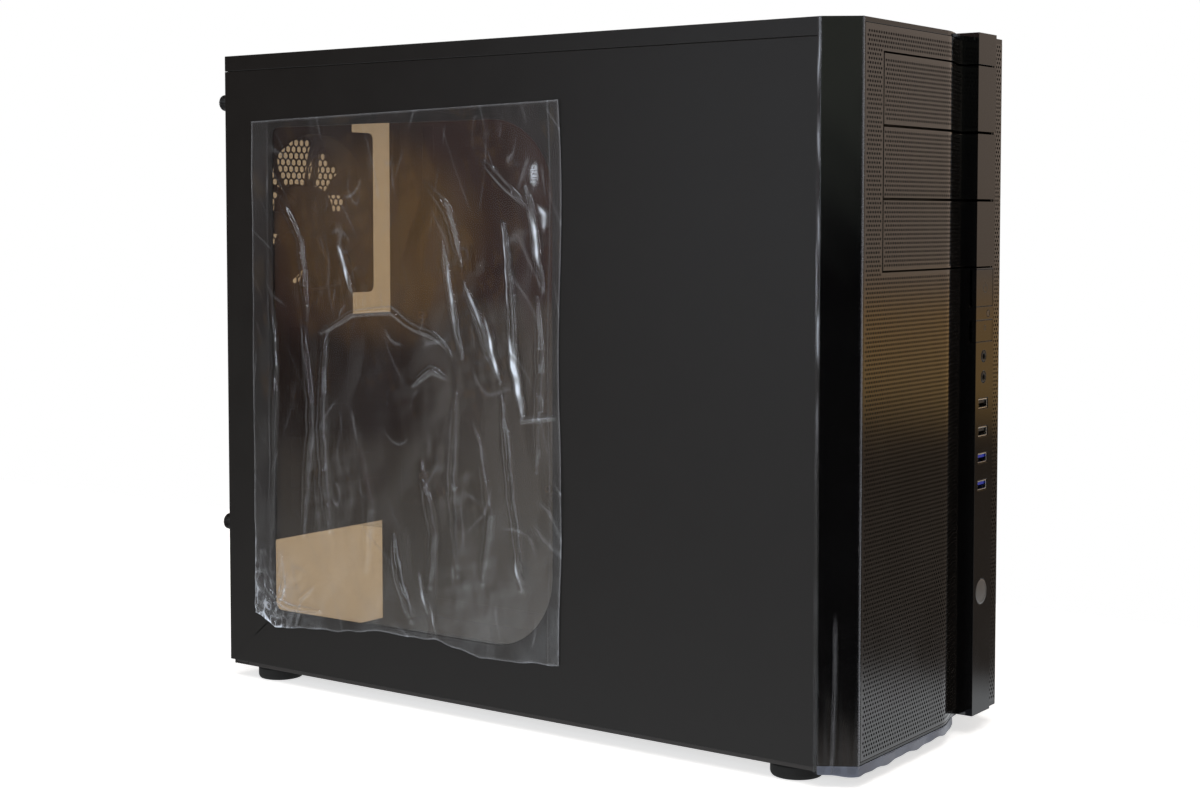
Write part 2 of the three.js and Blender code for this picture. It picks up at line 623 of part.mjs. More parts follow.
const REAR_FAN_Y = CHASSIS_REAR - SHEET - GAP - FAN.deep;
const FRONT_FAN_Y = CHASSIS_FRONT + SHEET + GAP;
add("rear_fan_frame", fanFrame(REAR_FAN.x, REAR_FAN.z, REAR_FAN_Y, true), MATTE_BLACK);
add("rear_fan_rotor", fanRotor(REAR_FAN.x, REAR_FAN.z, REAR_FAN_Y, true), MATTE_BLACK);
add("front_fan_frame", fanFrame(FRONT_FAN.x, FRONT_FAN.z, FRONT_FAN_Y, true), MATTE_BLACK);
add("front_fan_rotor", fanRotor(FRONT_FAN.x, FRONT_FAN.z, FRONT_FAN_Y, true), MATTE_BLACK);

add("optical_cage", opticalCage(), DARK_STEEL);
add("drive_cage", driveCage(), DARK_STEEL);
for (let i = 0; i < DRIVE.count; i += 1) add(`drive_tray_${i + 1}`, driveTray(i), MATTE_BLACK);
add("dust_filter", dustFilter(), MATTE_BLACK);

add("front_bezel", frontBezel(), GLOSS_BLACK);
add("front_mesh", frontMesh(), MATTE_BLACK);
for (let i = 0; i < 3; i += 1) add(`bay_cover_${i + 1}`, bayCover(i), MATTE_BLACK);
add("bezel_film", bezelFilm(), FILM_CLEAR);
add("port_column", column(), GLOSS_BLACK);
add("power_button", key(POWER_KEY), GLOSS_BLACK);
add("reset_button", key(RESET_KEY), GLOSS_BLACK);
add("power_led", rod(LED_X, LED_HEIGHT, 2, COLUMN_FRONT, COLUMN_FRONT + 6, 16), GREY);
add("round_badge", rod(PORT_X, BADGE_HEIGHT, 8, COLUMN_FRONT, COLUMN_FRONT + 0.7, 24), GREY);
JACK_HEIGHTS.forEach((z, i) => add(`audio_jack_${i + 1}`, audioJack(z), MATTE_BLACK));
USB_HEIGHTS.forEach((z, i) => add(`usb_port_${i + 1}`, usbPort(z), i < 2 ? SILVER : BLUE));
add("front_io_board", frontIoBoard(), GREEN);

export default tower;
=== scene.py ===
"""Looks of the desktop computer tower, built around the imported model.

Lengths are in millimetres until a mesh is made.
"""
import math

import bmesh
import bpy
import numpy as np
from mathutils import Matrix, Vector
from mathutils.geometry import delaunay_2d_cdt


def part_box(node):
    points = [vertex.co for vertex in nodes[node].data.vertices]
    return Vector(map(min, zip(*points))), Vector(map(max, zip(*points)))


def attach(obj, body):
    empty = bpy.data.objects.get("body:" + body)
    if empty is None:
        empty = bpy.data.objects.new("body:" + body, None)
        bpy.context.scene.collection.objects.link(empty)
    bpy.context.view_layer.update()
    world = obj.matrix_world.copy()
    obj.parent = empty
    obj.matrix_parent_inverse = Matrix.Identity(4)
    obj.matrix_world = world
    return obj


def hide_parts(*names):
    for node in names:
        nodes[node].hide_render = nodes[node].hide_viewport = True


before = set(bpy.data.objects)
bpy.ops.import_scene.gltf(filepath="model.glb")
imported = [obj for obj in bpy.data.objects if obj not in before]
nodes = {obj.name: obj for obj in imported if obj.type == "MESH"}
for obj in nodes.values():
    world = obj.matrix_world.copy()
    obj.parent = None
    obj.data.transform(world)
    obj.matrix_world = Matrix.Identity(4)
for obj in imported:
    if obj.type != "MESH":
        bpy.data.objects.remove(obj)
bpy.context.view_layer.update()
MM = 0.001
FULL = 2 * math.pi


def box_of(node):
    """Lowest and highest corner of a CAD node, in millimetres."""
    low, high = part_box(node)
    return Vector(low) / MM, Vector(high) / MM


def middle(node):
    low, high = box_of(node)
    return (low + high) / 2


def new_object(name, data):
    made = bpy.data.objects.new(name, data)
    bpy.context.scene.collection.objects.link(made)
    return made


# ---- Materials ----
def node(tree, kind, inputs=None, **settings):
    """A new shader node. Each input is a value, or another node's output that is linked to it."""
    made = tree.nodes.new(kind)
    for key, value in settings.items():
        setattr(made, key, value)
    for key, value in (inputs or {}).items():
        if isinstance(value, bpy.types.NodeSocket):
            tree.links.new(value, made.inputs[key])
        else:
            made.inputs[key].default_value = value
    return made


def noise(tree, scale, detail=2.0, stretch=None):
    """A noise texture in the object's own coordinates; scale counts its lumps along one metre."""
    source = node(tree, "ShaderNodeTexCoord").outputs["Object"]
    if stretch:
        source = node(tree, "ShaderNodeMapping", {"Vector": source, "Scale": stretch}).outputs["Vector"]
    inputs = {"Vector": source, "Scale": scale, "Detail": detail, "Roughness": 0.55}
    return node(tree, "ShaderNodeTexNoise", inputs).outputs["Fac"]


def ramp(tree, source, low, high):
    made = node(tree, "ShaderNodeValToRGB", {"Fac": source})
    for element, place, color in zip(made.color_ramp.elements, (0.35, 0.65), (low, high)):
        element.position = place
        element.color = color
    return made.outputs["Color"]


def blend_color(tree, fac, low, high, blend_type="MIX"):
    low, high = [(*color, 1.0) if isinstance(color, tuple) else color for color in (low, high)]
    inputs = {"Factor": fac, 6: low, 7: high}
    return node(tree, "ShaderNodeMix", inputs, data_type="RGBA", blend_type=blend_type).outputs[2]


def spread(tree, source, low, high, start=0.3, end=0.7):
    inputs = {"Value": source, "From Min": start, "From Max": end, "To Min": low, "To Max": high}
    return node(tree, "ShaderNodeMapRange", inputs).outputs["Result"]


def blend_shader(tree, fac, low, high):
    return node(tree, "ShaderNodeMixShader", {0: fac, 1: low.outputs[0], 2: high.outputs[0]})


def power(tree, source, exponent):
    return node(tree, "ShaderNodeMath", {0: source, 1: exponent}, operation="POWER").outputs[0]


def tone(color, factor):
    return (*[min(1.0, c * factor) for c in color[:3]], 1.0)


def new_material(name):
    made = bpy.data.materials.new(name)
    made.use_nodes = True
    return made, made.node_tree, made.node_tree.nodes["Principled BSDF"]


def material(name, color, rough, metallic=0.0, specular=0.5, mottle=0.15, blotch=25.0, grain=0.0,
             grain_size=0.5, rough_vary=0.05, stretch=None):
    """A solid finish: blotch and grain_size set the sizes of its cloudiness and of its surface grain (mm)."""
    made, tree, shader = new_material(name)
    shader.inputs["Metallic"].default_value = metallic
    shader.inputs["Specular IOR Level"].default_value = specular
    cloud = noise(tree, 1000 / blotch, 3.0, stretch)
    color_out = ramp(tree, cloud, tone(color, 1 - mottle), tone(color, 1 + mottle))
    tree.links.new(color_out, shader.inputs["Base Color"])
    tree.links.new(spread(tree, cloud, rough - rough_vary, rough + rough_vary), shader.inputs["Roughness"])
    if grain:
        bump = node(tree, "ShaderNodeBump", {"Strength": grain, "Distance": grain_size * 0.2 * MM,
                                             "Height": noise(tree, 1000 / grain_size, 2.0, stretch)})
        tree.links.new(bump.outputs["Normal"], shader.inputs["Normal"])
    return made


# The colour of the painted highlights on the film's creases and folds.
PAINTED_GLINT_COLOR = (0.80, 0.88, 1.0)


def clear(name, tint, haze, opacity, rough, gloss, crease_glint_opacity=0.0):
    """A clear sheet: light passes tinted, its face mirrors by angle and haze clouds it. A per-point crease
    mark paints creases and highlights on it as whiter, more opaque lines.
    """
    made, tree, shader = new_material(name)
    shader.inputs["Roughness"].default_value = 0.35
    through = node(tree, "ShaderNodeBsdfTransparent", {"Color": (*tint, 1.0)})
    mirror = node(tree, "ShaderNodeBsdfPrincipled",
                  {"Metallic": 1.0, "Base Color": (1, 1, 1, 1), "Roughness": rough})
    angle = node(tree, "ShaderNodeLayerWeight", {"Blend": 0.5}).outputs["Facing"]
    share = spread(tree, power(tree, angle, 5.0), gloss, 1.0, 0.0, 1.0)
    surface = blend_shader(tree, share, through, mirror)
    smear = noise(tree, 18.0, 4.0, (1.0, 1.0, 0.35))
    color = ramp(tree, smear, tone(haze, 0.75), tone(haze, 1.2))
    fac = spread(tree, smear, opacity * 0.6, opacity * 1.4)
    if crease_glint_opacity:
        # The crease mark makes the sheet more opaque and tints it towards the highlight colour: painted
        # highlights over the real creases.
        crease_glint = node(tree, "ShaderNodeAttribute", attribute_name="crease_glint").outputs["Fac"]
        fac = node(tree, "ShaderNodeMath", {0: crease_glint, 1: crease_glint_opacity, 2: fac},
                   operation="MULTIPLY_ADD", use_clamp=True).outputs[0]
        sharp = spread(tree, power(tree, crease_glint, 1.7), 0.0, 1.0, 0.0, 1.0)
        color = blend_color(tree, sharp, color, PAINTED_GLINT_COLOR)
    tree.links.new(color, shader.inputs["Base Color"])
    mix = blend_shader(tree, fac, surface, shader)
    tree.links.new(mix.outputs[0], tree.nodes["Material Output"].inputs["Surface"])
    return made


PANEL = material("panel_powder_coat", (0.0065, 0.0056, 0.0048), 0.40, mottle=0.06, grain=0.25,
                 grain_size=0.45, specular=0.24, rough_vary=0.012)
CHASSIS = material("chassis_powder_coat", (0.018, 0.015, 0.0135), 0.5, grain=0.3, grain_size=0.5,
                   specular=0.4)
GLOSS = material("gloss_black", (0.0028, 0.0028, 0.003), 0.06, rough_vary=0.02)
PERFORATED = material("perforated_black", (0.01, 0.0088, 0.0078), 0.09, rough_vary=0.02, blotch=60,
                      specular=1.0)
FAN = material("fan_plastic", (0.012, 0.0112, 0.011), 0.42, grain=0.25, grain_size=0.8)
TRAY = material("tray_plastic", (0.013, 0.0125, 0.012), 0.5, grain=0.3, grain_size=0.7)
RUBBER = material("rubber", (0.011, 0.011, 0.011), 0.78, grain=0.5, grain_size=0.7, specular=0.3)
SCREW = material("screw_black", (0.012, 0.012, 0.0125), 0.33, metallic=0.2, grain=0.1, grain_size=0.4)
NICKEL = material("nickel", (0.62, 0.61, 0.58), 0.22, metallic=1.0, mottle=0.08, grain=0.08, grain_size=0.3)
BRASS = material("brass", (0.30, 0.20, 0.075), 0.3, metallic=1.0, mottle=0.1, grain=0.1, grain_size=0.3)
GOLD = material("gold_contact", (0.8, 0.55, 0.2), 0.25, metallic=1.0, mottle=0.05)
BLUE = material("socket_blue", (0.012, 0.035, 0.42), 0.35, mottle=0.1, grain=0.1, grain_size=0.4)
SOCKET = material("socket_black", (0.01, 0.01, 0.01), 0.4, grain=0.2, grain_size=0.4)
BADGE = material("badge_disc", (0.14, 0.135, 0.13), 0.34, metallic=0.6, mottle=0.12, blotch=3,
                 stretch=(8, 1, 1))
ICON = material("printed_grey", (0.03, 0.03, 0.03), 0.5, mottle=0.1)
LENS = material("smoked_lens", (0.03, 0.03, 0.032), 0.12, mottle=0.1)
BOARD = material("circuit_board", (0.01, 0.055, 0.02), 0.4, mottle=0.3, blotch=2)
LABEL = material("fan_label", (0.07, 0.07, 0.07), 0.45, mottle=0.1)
NET = material("filter_net", (0.015, 0.0145, 0.014), 0.6, grain=0.3, grain_size=0.6)
ACRYLIC = clear("window_acrylic", (0.60, 0.515, 0.40), (0.10, 0.085, 0.085), 0.03, 0.02, 0.10)
FILM = clear("clear_film", (0.93, 0.93, 0.93), (0.20, 0.20, 0.205), 0.06, 0.08, 0.03, crease_glint_opacity=0.9)
CORNER = clear("corner_film", (0.9, 0.9, 0.9), (0.2, 0.2, 0.22), 0.0, 0.06, 0.015, crease_glint_opacity=0.75)
# The doubled film of the loose end: a real doubled clear film, made near-opaque dark grey-blue as painted
# shade for the dark behind it.
FOLDED_PAINTED_SHADE = clear("folded_film_painted_shade", (0.80, 0.84, 0.92), (0.10, 0.115, 0.155), 0.95, 0.12, 0.05,
               crease_glint_opacity=0.3)


# ---- Shapes ----
class Shape:
    """Vertices in millimetres and faces, gathered from simple forms into one mesh."""

    def __init__(self):
        self.verts = []
        self.faces = []
        self.slots = []

    def add(self, verts, faces, slot=0):
        start = len(self.verts)
        self.verts.extend(tuple(v) for v in verts)
        self.faces.extend(tuple(start + i for i in face) for face in faces)
        self.slots.extend([slot] * len(faces))

    def box(self, x0, x1, y0, y1, z0, z1, slot=0):
        verts = [(x, y, z) for x in (x0, x1) for y in (y0, y1) for z in (z0, z1)]
        faces = [(0, 1, 3, 2), (4, 6, 7, 5), (0, 4, 5, 1), (2, 3, 7, 6), (0, 2, 6, 4), (1, 5, 7, 3)]
        self.add(verts, faces, slot)

    def plate(self, outline, holes, near, far, slot=0):
        """A sheet with convex holes. Loops list (u, v) points, and near and far place them on each face."""
        points, edges, owner = [], [], []
        for number, loop in enumerate([outline, *holes]):
            start = len(points)
            points.extend(Vector(p) for p in loop)
            edges.extend((start + i, start + (i + 1) % len(loop)) for i in range(len(loop)))
            owner.extend([number] * len(loop))
        flat, _, triangles, origin, _, _ = delaunay_2d_cdt(points, edges, [], 1, 1e-6)
        loop_of = [owner[source[0]] if source else 0 for source in origin]
        kept = [t for t in triangles
                if not (loop_of[t[0]] and loop_of[t[0]] == loop_of[t[1]] == loop_of[t[2]])]
        directed = {(t[i], t[(i + 1) % 3]) for t in kept for i in range(3)}
        rim = [(a, b) for a, b in directed if (b, a) not in directed]
        count = len(flat)
        verts = [near(*p) for p in flat] + [far(*p) for p in flat]
        faces = [tuple(t) for t in kept]
        faces += [tuple(count + i for i in reversed(t)) for t in kept]
        faces += [(b, a, count + a, count + b) for a, b in sorted(rim)]
        self.add(verts, faces, slot)

    def lathe(self, profile, centre, axis="Y", sides=48, ridge=0.0, capped=True):
        """A turned form of (radius, distance along the axis); ridge cuts in every other side by a share."""
        verts, faces = [], []
        for radius, along in profile:
            for i in range(sides):
                r = radius * (1 - ridge * (i % 2))
                a, b = r * math.cos(FULL * i / sides), r * math.sin(FULL * i / sides)
                offset = {"X": (along, a, b), "Y": (a, along, b), "Z": (a, b, along)}[axis]
                verts.append(tuple(c + o for c, o in zip(centre, offset)))
        for row in range(len(profile) - 1):
            for i in range(sides):
                j = (i + 1) % sides
                faces.append((row * sides + i, row * sides + j, (row + 1) * sides + j, (row + 1) * sides + i))
        if capped:
            faces.append(tuple(reversed(range(sides))))
            faces.append(tuple((len(profile) - 1) * sides + i for i in range(sides)))
        self.add(verts, faces)

    def piece(self, name, body, materials, replaces=(), angle=35):
        mesh = bpy.data.meshes.new(name)
        mesh.from_pydata([(x * MM, y * MM, z * MM) for x, y, z in self.verts], [], self.faces)
        for made in materials:
            mesh.materials.append(made)
        mesh.polygons.foreach_set("material_index", self.slots)
        edit = bmesh.new()
        edit.from_mesh(mesh)
        bmesh.ops.recalc_face_normals(edit, faces=edit.faces)
        edit.to_mesh(mesh)
        edit.free()
        mesh.polygons.foreach_set("use_smooth", [True] * len(mesh.polygons))
        mesh.set_sharp_from_angle(angle=math.radians(angle))
        made = new_object(name, mesh)
        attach(made, body)
        if replaces:
            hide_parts(*replaces)
        return made


def circle(u, v, radius, sides=24, turn=0.0):
    angles = [FULL * i / sides + turn for i in range(sides)]
    return [(u + radius * math.cos(angle), v + radius * math.sin(angle)) for angle in angles]


def rectangle(u0, u1, v0, v1):
    return [(u0, v0), (u1, v0), (u1, v1), (u0, v1)]


def round_rectangle(u0, u1, v0, v1, radius, steps=5):
    loop = []
    for cu, cv, quarter in ((u1 - radius, v0 + radius, 3), (u1 - radius, v1 - radius, 0),
                            (u0 + radius, v1 - radius, 1), (u0 + radius, v0 + radius, 2)):
        for i in range(steps + 1):
            angle = (quarter + i / steps) * math.pi / 2
            loop.append((cu + radius * math.cos(angle), cv + radius * math.sin(angle)))
    return loop


def honeycomb(u0, u1, v0, v1, pitch, radius, inside):
    """Staggered rows of holes whose middles satisfy inside(u, v)."""
    row_step = pitch * math.sqrt(3) / 2
    holes = []
    for row in range(int((v1 - v0) / row_step) + 1):
        v = v0 + row * row_step
        shift = pitch / 2 if row % 2 else 0.0
        for column in range(int((u1 - u0 - shift) / pitch) + 1):
            u = u0 + shift + column * pitch
            if inside(u, v):
                holes.append(circle(u, v, radius, 6, math.pi / 6))
    return holes


def on_y(y):
    return lambda u, v: (u, y, v)


def on_z(z):
    return lambda u, v: (u, v, z)


def four_corners(centre, reach):
    """The (x, z) places of a square's corners."""
    return [(centre.x + sx * reach, centre.z + sz * reach) for sx in (-1, 1) for sz in (-1, 1)]


def grid_faces(rows, columns, start=0):
    """The faces of a grid whose points were laid down row by row."""
    first = [start + row * columns + column for row in range(rows - 1) for column in range(columns - 1)]
    return [(a, a + 1, a + columns + 1, a + columns) for a in first]


# ---- CAD nodes that keep their shape ----
def finish_node(name, made, edge):
    """A CAD node gets its material and lightly rounded edges."""
    thing = nodes[name]
    thing.data.materials.clear()
    thing.data.materials.append(made)
    weld = thing.modifiers.new("weld", "WELD")
    weld.merge_threshold = 0.00001
    if edge:
        bevel = thing.modifiers.new("edges", "BEVEL")
        bevel.width = edge * MM
        bevel.segments = 2
        bevel.limit_method = "ANGLE"
        bevel.angle_limit = math.radians(40)


# The start of the nodes' names, their material and the width of their edges.
CAD_FINISHES = [
    ("left_side_panel", PANEL, 0.3), ("right_side_panel", PANEL, 0.3), ("top_cover", PANEL, 0.3),
    ("chassis_base", CHASSIS, 0.2), ("front_frame", CHASSIS, 0.2), ("motherboard_tray", CHASSIS, 0.2),
    ("optical_cage", CHASSIS, 0.2), ("drive_cage", CHASSIS, 0.2), ("slot_cover", CHASSIS, 0.2),
    ("drive_tray", TRAY, 0.4), ("cable_grommet", RUBBER, 0.5), ("audio_jack", SOCKET, 0.2),
    ("usb_port", NICKEL, 0.15), ("side_window", ACRYLIC, 0), ("front_bezel", GLOSS, 0.4),
    ("port_column", GLOSS, 0.3), ("power_button", GLOSS, 0.25), ("reset_button", GLOSS, 0.25),
    ("power_led", LENS, 0.2), ("front_io_board", BOARD, 0.1),
]


def finish_cad_nodes():
    for start, made, edge in CAD_FINISHES:
        for name in nodes:
            if name.startswith(start):
                finish_node(name, made, edge)


# ---- Front ----
COVE_WIDE = 37.6
COVE_DEEP = 8.0
HOLE_PITCH = 3.0
HOLE_RADIUS = 0.93
SHEET = 1.0
BEZEL_CORNER = 13.0
BAY_SEAM = 0.4


def ease(share):
    """Rises smoothly from 0 to 1, as its input does."""
    return share * share * (3 - 2 * share)


def cove(x, right):
    """How far the perforated front recedes at x, where right is the deep end beside the port column."""
    return COVE_DEEP * ease(min(1.0, max(0.0, (x - (right - COVE_WIDE)) / COVE_WIDE)))


def on_cove(y, right):
    """Places points on a face that starts at y and recedes with the cove."""
    return lambda x, z: (x, y + cove(x, right), z)


def rows_across(x0, x1, right):
    """Points that follow the cove along a straight edge of the sheet."""
    start = max(x0, right - COVE_WIDE)
    steps = 14
    first = 0 if start > x0 else 1
    return [x0] + [start + (x1 - start) * i / steps for i in range(first, steps + 1)]


def perforated_front():
    low, high = box_of("front_mesh")
    bay_low, _ = box_of("bay_cover_1")
    _, bay_high = box_of("bay_cover_3")
    left, right, front = low.x, high.x, low.y
    u, v0, v1 = bay_low.x - 0.9, bay_low.z - 0.8, bay_high.z + 0.8
    outline = [(x, low.z) for x in rows_across(left, right, right)]
    outline += [(x, v0) for x in reversed(rows_across(u, right, right))]
    outline += [(x, v1) for x in rows_across(u, right, right)]
    outline += [(x, high.z) for x in reversed(rows_across(left, right, right))]
    edge = 2.2

    def inside(x, z):
        if not (left + edge < x < right - edge and low.z + edge < z < high.z - edge):
            return False
        return x < u - edge or z < v0 - edge or z > v1 + edge

    holes = honeycomb(left, right, low.z, high.z, HOLE_PITCH, HOLE_RADIUS, inside)
    shape = Shape()
    shape.plate(outline, holes, on_cove(front, right), on_cove(front + SHEET, right))
    shape.piece("perforated_front", "bezel", [PERFORATED], ["front_mesh"])
    foam = Shape()
    foam.box(left + 2, right - 2, front + 14, front + 16.5, low.z + 2, bay_low.z - 6)
    foam.piece("front_dust_foam", "bezel", [NET])


def perforated_margin():
    """The narrow perforated strip between the port column and the bezel's right corner."""
    low, high = box_of("front_mesh")
    column = box_of("port_column")[1].x
    corner = box_of("front_bezel")[1].x - BEZEL_CORNER
    left, right = column + 2.4, corner - 1.2
    edge = 1.3

    def inside(x, z):
        return left + edge < x < right - edge and low.z + edge < z < high.z - edge

    holes = honeycomb(left + 1.5, corner, low.z, high.z, HOLE_PITCH, HOLE_RADIUS, inside)
    shape = Shape()
    shape.plate(rectangle(left, right, low.z, high.z), holes, on_y(low.y - 0.55), on_y(low.y - 0.05))
    shape.piece("perforated_margin", "bezel", [PERFORATED])


def bay_cover(number):
    """A perforated face with thin walls and dust foam behind it, and a glossy end in the port column."""
    low, high = box_of(f"bay_cover_{number}")
    mesh_low, mesh_high = box_of("front_mesh")
    column_left = box_of("port_column")[0].x
    right, front, back = mesh_high.x, mesh_low.y, mesh_low.y + SHEET
    wall, edge, foam = 1.4, 2.0, 15
    z0, z1 = low.z + BAY_SEAM, high.z - BAY_SEAM
    face = [(x, z0) for x in rows_across(low.x + BAY_SEAM, right, right)]
    face += [(x, z1) for x in reversed(rows_across(low.x + BAY_SEAM, right, right))]

    def inside(x, z):
        return low.x + edge < x < right - edge and low.z + edge < z < high.z - edge

    holes = honeycomb(mesh_low.x, right, mesh_low.z, high.z, HOLE_PITCH, HOLE_RADIUS, inside)
    shape = Shape()
    shape.plate(face, holes, on_cove(front, right), on_cove(back, right))
    plan = [(x, back + cove(x, right)) for x in rows_across(low.x, right, right)]
    plan += [(right, high.y), (low.x, high.y)]
    for z in (z0, z1 - wall):
        shape.plate(plan, [], on_z(z), on_z(z + wall))
    shape.box(low.x, low.x + wall, back, high.y, low.z + wall, high.z - wall)
    shape.box(low.x + wall, right, front + foam, front + foam + 1, low.z + wall, high.z - wall, 2)
    for x0, x1, y0, y1 in ((column_left, high.x, low.y, low.y + 2),
                           (column_left, column_left + 2, low.y + 2, high.y),
                           (high.x - 2, high.x, low.y + 2, high.y)):
        shape.box(x0, x1, y0, y1, z0, z1, 1)
    shape.box(right - 1, column_left + 1, high.y - 1.2, high.y, z0 + 0.2, z1 - 0.2, 1)
    shape.piece(f"perforated_bay_cover_{number}", f"cover_{number}", [PERFORATED, GLOSS, NET],
                [f"bay_cover_{number}"])


def bay_dividers():
    """The bezel's bars behind the seams around the bay covers, thin enough to let a drive pass."""
    low, _ = box_of("bay_cover_1")
    _, high = box_of("bay_cover_3")
    y0, y1 = high.y + 0.5, high.y + 1.8
    lap, reach = 0.6, 3.0
    shape = Shape()
    for number in (2, 3):
        z = box_of(f"bay_cover_{number}")[0].z - BAY_SEAM
        shape.box(low.x - 2, high.x + 2, y0, y1, z - 0.9, z + 0.9)
    for z0, z1 in ((low.z - reach, low.z + lap), (high.z - lap, high.z + reach)):
        shape.box(low.x - reach, high.x + reach, y0, y1, z0, z1)
    for x0, x1 in ((low.x - reach, low.x + lap), (high.x - lap, high.x + reach)):
        shape.box(x0, x1, y0, y1, low.z, high.z)
    shape.piece("bay_dividers", "bezel", [TRAY])


def sockets():
    for number in range(1, 5):
        low, high = box_of(f"usb_port_{number}")
        plastic, slot = (SOCKET, "socket_black") if number < 3 else (BLUE, "socket_blue")
        shape = Shape()
        x0, x1 = low.x + 1.4, high.x - 1.4
        z0 = high.z - 2.9
        shape.box(x0, x1, low.y + 1.0, high.y - 1.2, z0, z0 + 1.7)
        shape.box(low.x + 0.9, high.x - 0.9, high.y - 1.9, high.y - 1.2, low.z + 0.9, high.z - 0.9)
        contacts = 4
        for i in range(contacts):
            x = x0 + (i + 0.5) * (x1 - x0) / contacts
            shape.box(x - 0.5, x + 0.5, low.y + 1.6, high.y - 3, z0 - 0.12, z0, 1)
        shape.piece(f"usb_tongue_{number}", "bezel", [plastic, GOLD])
    ring_profile = [(1.95, 2.0), (1.95, -0.15), (2.2, -0.4), (3.0, -0.4), (3.35, -0.1), (3.35, 0.3)]
    for number in range(1, 3):
        low, high = box_of(f"audio_jack_{number}")
        centre = ((low.x + high.x) / 2, low.y, (low.z + high.z) / 2)
        ring = Shape()
        ring.lathe(ring_profile, centre, sides=40, capped=False)
        ring.piece(f"jack_ring_{number}", "bezel", [SCREW])


def badge_and_icons():
    """The plain disc low on the port column, and generic signs on the two keys."""
    low, high = box_of("round_badge")
    centre = ((low.x + high.x) / 2, low.y, (low.z + high.z) / 2)
    radius = (high.x - low.x) / 2
    disc = Shape()
    disc.lathe([(radius, 0.6), (radius, 0.1), (radius - 0.4, -0.15), (radius - 1.1, -0.15),
                (radius - 1.3, 0.1), (radius * 0.5, 0.0), (0.05, -0.05)], centre, sides=64)
    disc.piece("badge_disc", "bezel", [BADGE], ["round_badge"])
    power_key, reset_key = middle("power_button"), middle("reset_button")
    front = box_of("power_button")[0].y
    column = middle("port_column").x
    y0, y1 = front - 0.03, front + 0.05
    mark = Shape()
    steps, inner, outer = 28, 2.6, 3.1
    angles = [math.pi * (0.5 + 0.22 + 1.56 * k / steps) for k in range(steps + 1)]
    for a0, a1 in zip(angles, angles[1:]):
        loop = [(column + r * math.cos(a), power_key.z + r * math.sin(a)) for r, a in
                ((inner, a0), (inner, a1), (outer, a1), (outer, a0))]
        mark.plate(loop, [], on_y(y0), on_y(y1))
    mark.box(column - 0.25, column + 0.25, y0, y1, power_key.z + 0.8, power_key.z + 3.6)
    mark.piece("power_mark", "power_key", [ICON])
    dot = Shape()
    z = reset_key.z + 2
    dot.plate(circle(column, z, 1.7), [circle(column, z, 1.25)], on_y(y0), on_y(y1))
    dot.piece("reset_mark", "reset_key", [ICON])


# ---- Clear film ----
FILM_REST = 0.35
FILM_LAP = 2.6
FRONT_LAP = 0.6
# The window film's uneven lower edge, as (y, z) points.
LOWER_EDGE = [(-50, 46), (-41, 46), (-12, 44), (16, 43), (36, 47), (55, 50), (80, 49), (103, 50), (140, 45),
              (179, 43), (192, 41), (203, 41), (212, 45), (223, 49)]


def fold_along(y, z, line, width):
    """A fold that follows a line of (y, z) points: its rounded height, and a mask along its two edges that
    carries painted highlights.
    """
    best = np.full(y.shape, 1e9)
    along = np.zeros(y.shape)
    lengths = [math.dist(a, b) for a, b in zip(line, line[1:])]
    total, done = sum(lengths), 0.0
    for (ay, az), (by, bz), length in zip(line, line[1:], lengths):
        t = np.clip(((y - ay) * (by - ay) + (z - az) * (bz - az)) / length ** 2, 0, 1)
        far = np.hypot(y - ay - t * (by - ay), z - az - t * (bz - az))
        along = np.where(far < best, (done + t * length) / total, along)
        best = np.minimum(far, best)
        done += length
    taper = np.sqrt(np.clip(np.sin(np.pi * np.clip(along, 0.03, 0.97)), 0, 1))
    half = width * (0.35 + 0.65 * taper)
    ridge = np.exp(-(best / half) ** 2) * taper
    edges = np.exp(-((best - half) / 0.5) ** 2) * taper
    return ridge, edges


def waves(y, z, seed, count, shortest, longest, lean):
    """A fixed sum of sine waves of random directions, which lean towards upright folds."""
    rng = np.random.default_rng(seed)
    total = np.zeros(y.shape)
    for _ in range(count):
        length = rng.uniform(shortest, longest)
        angle = rng.normal(0.0, lean)
        phase = rng.uniform(0, FULL)
        total += np.sin(FULL * (y * math.cos(angle) + z * math.sin(angle)) / length + phase)
    return total / math.sqrt(count)


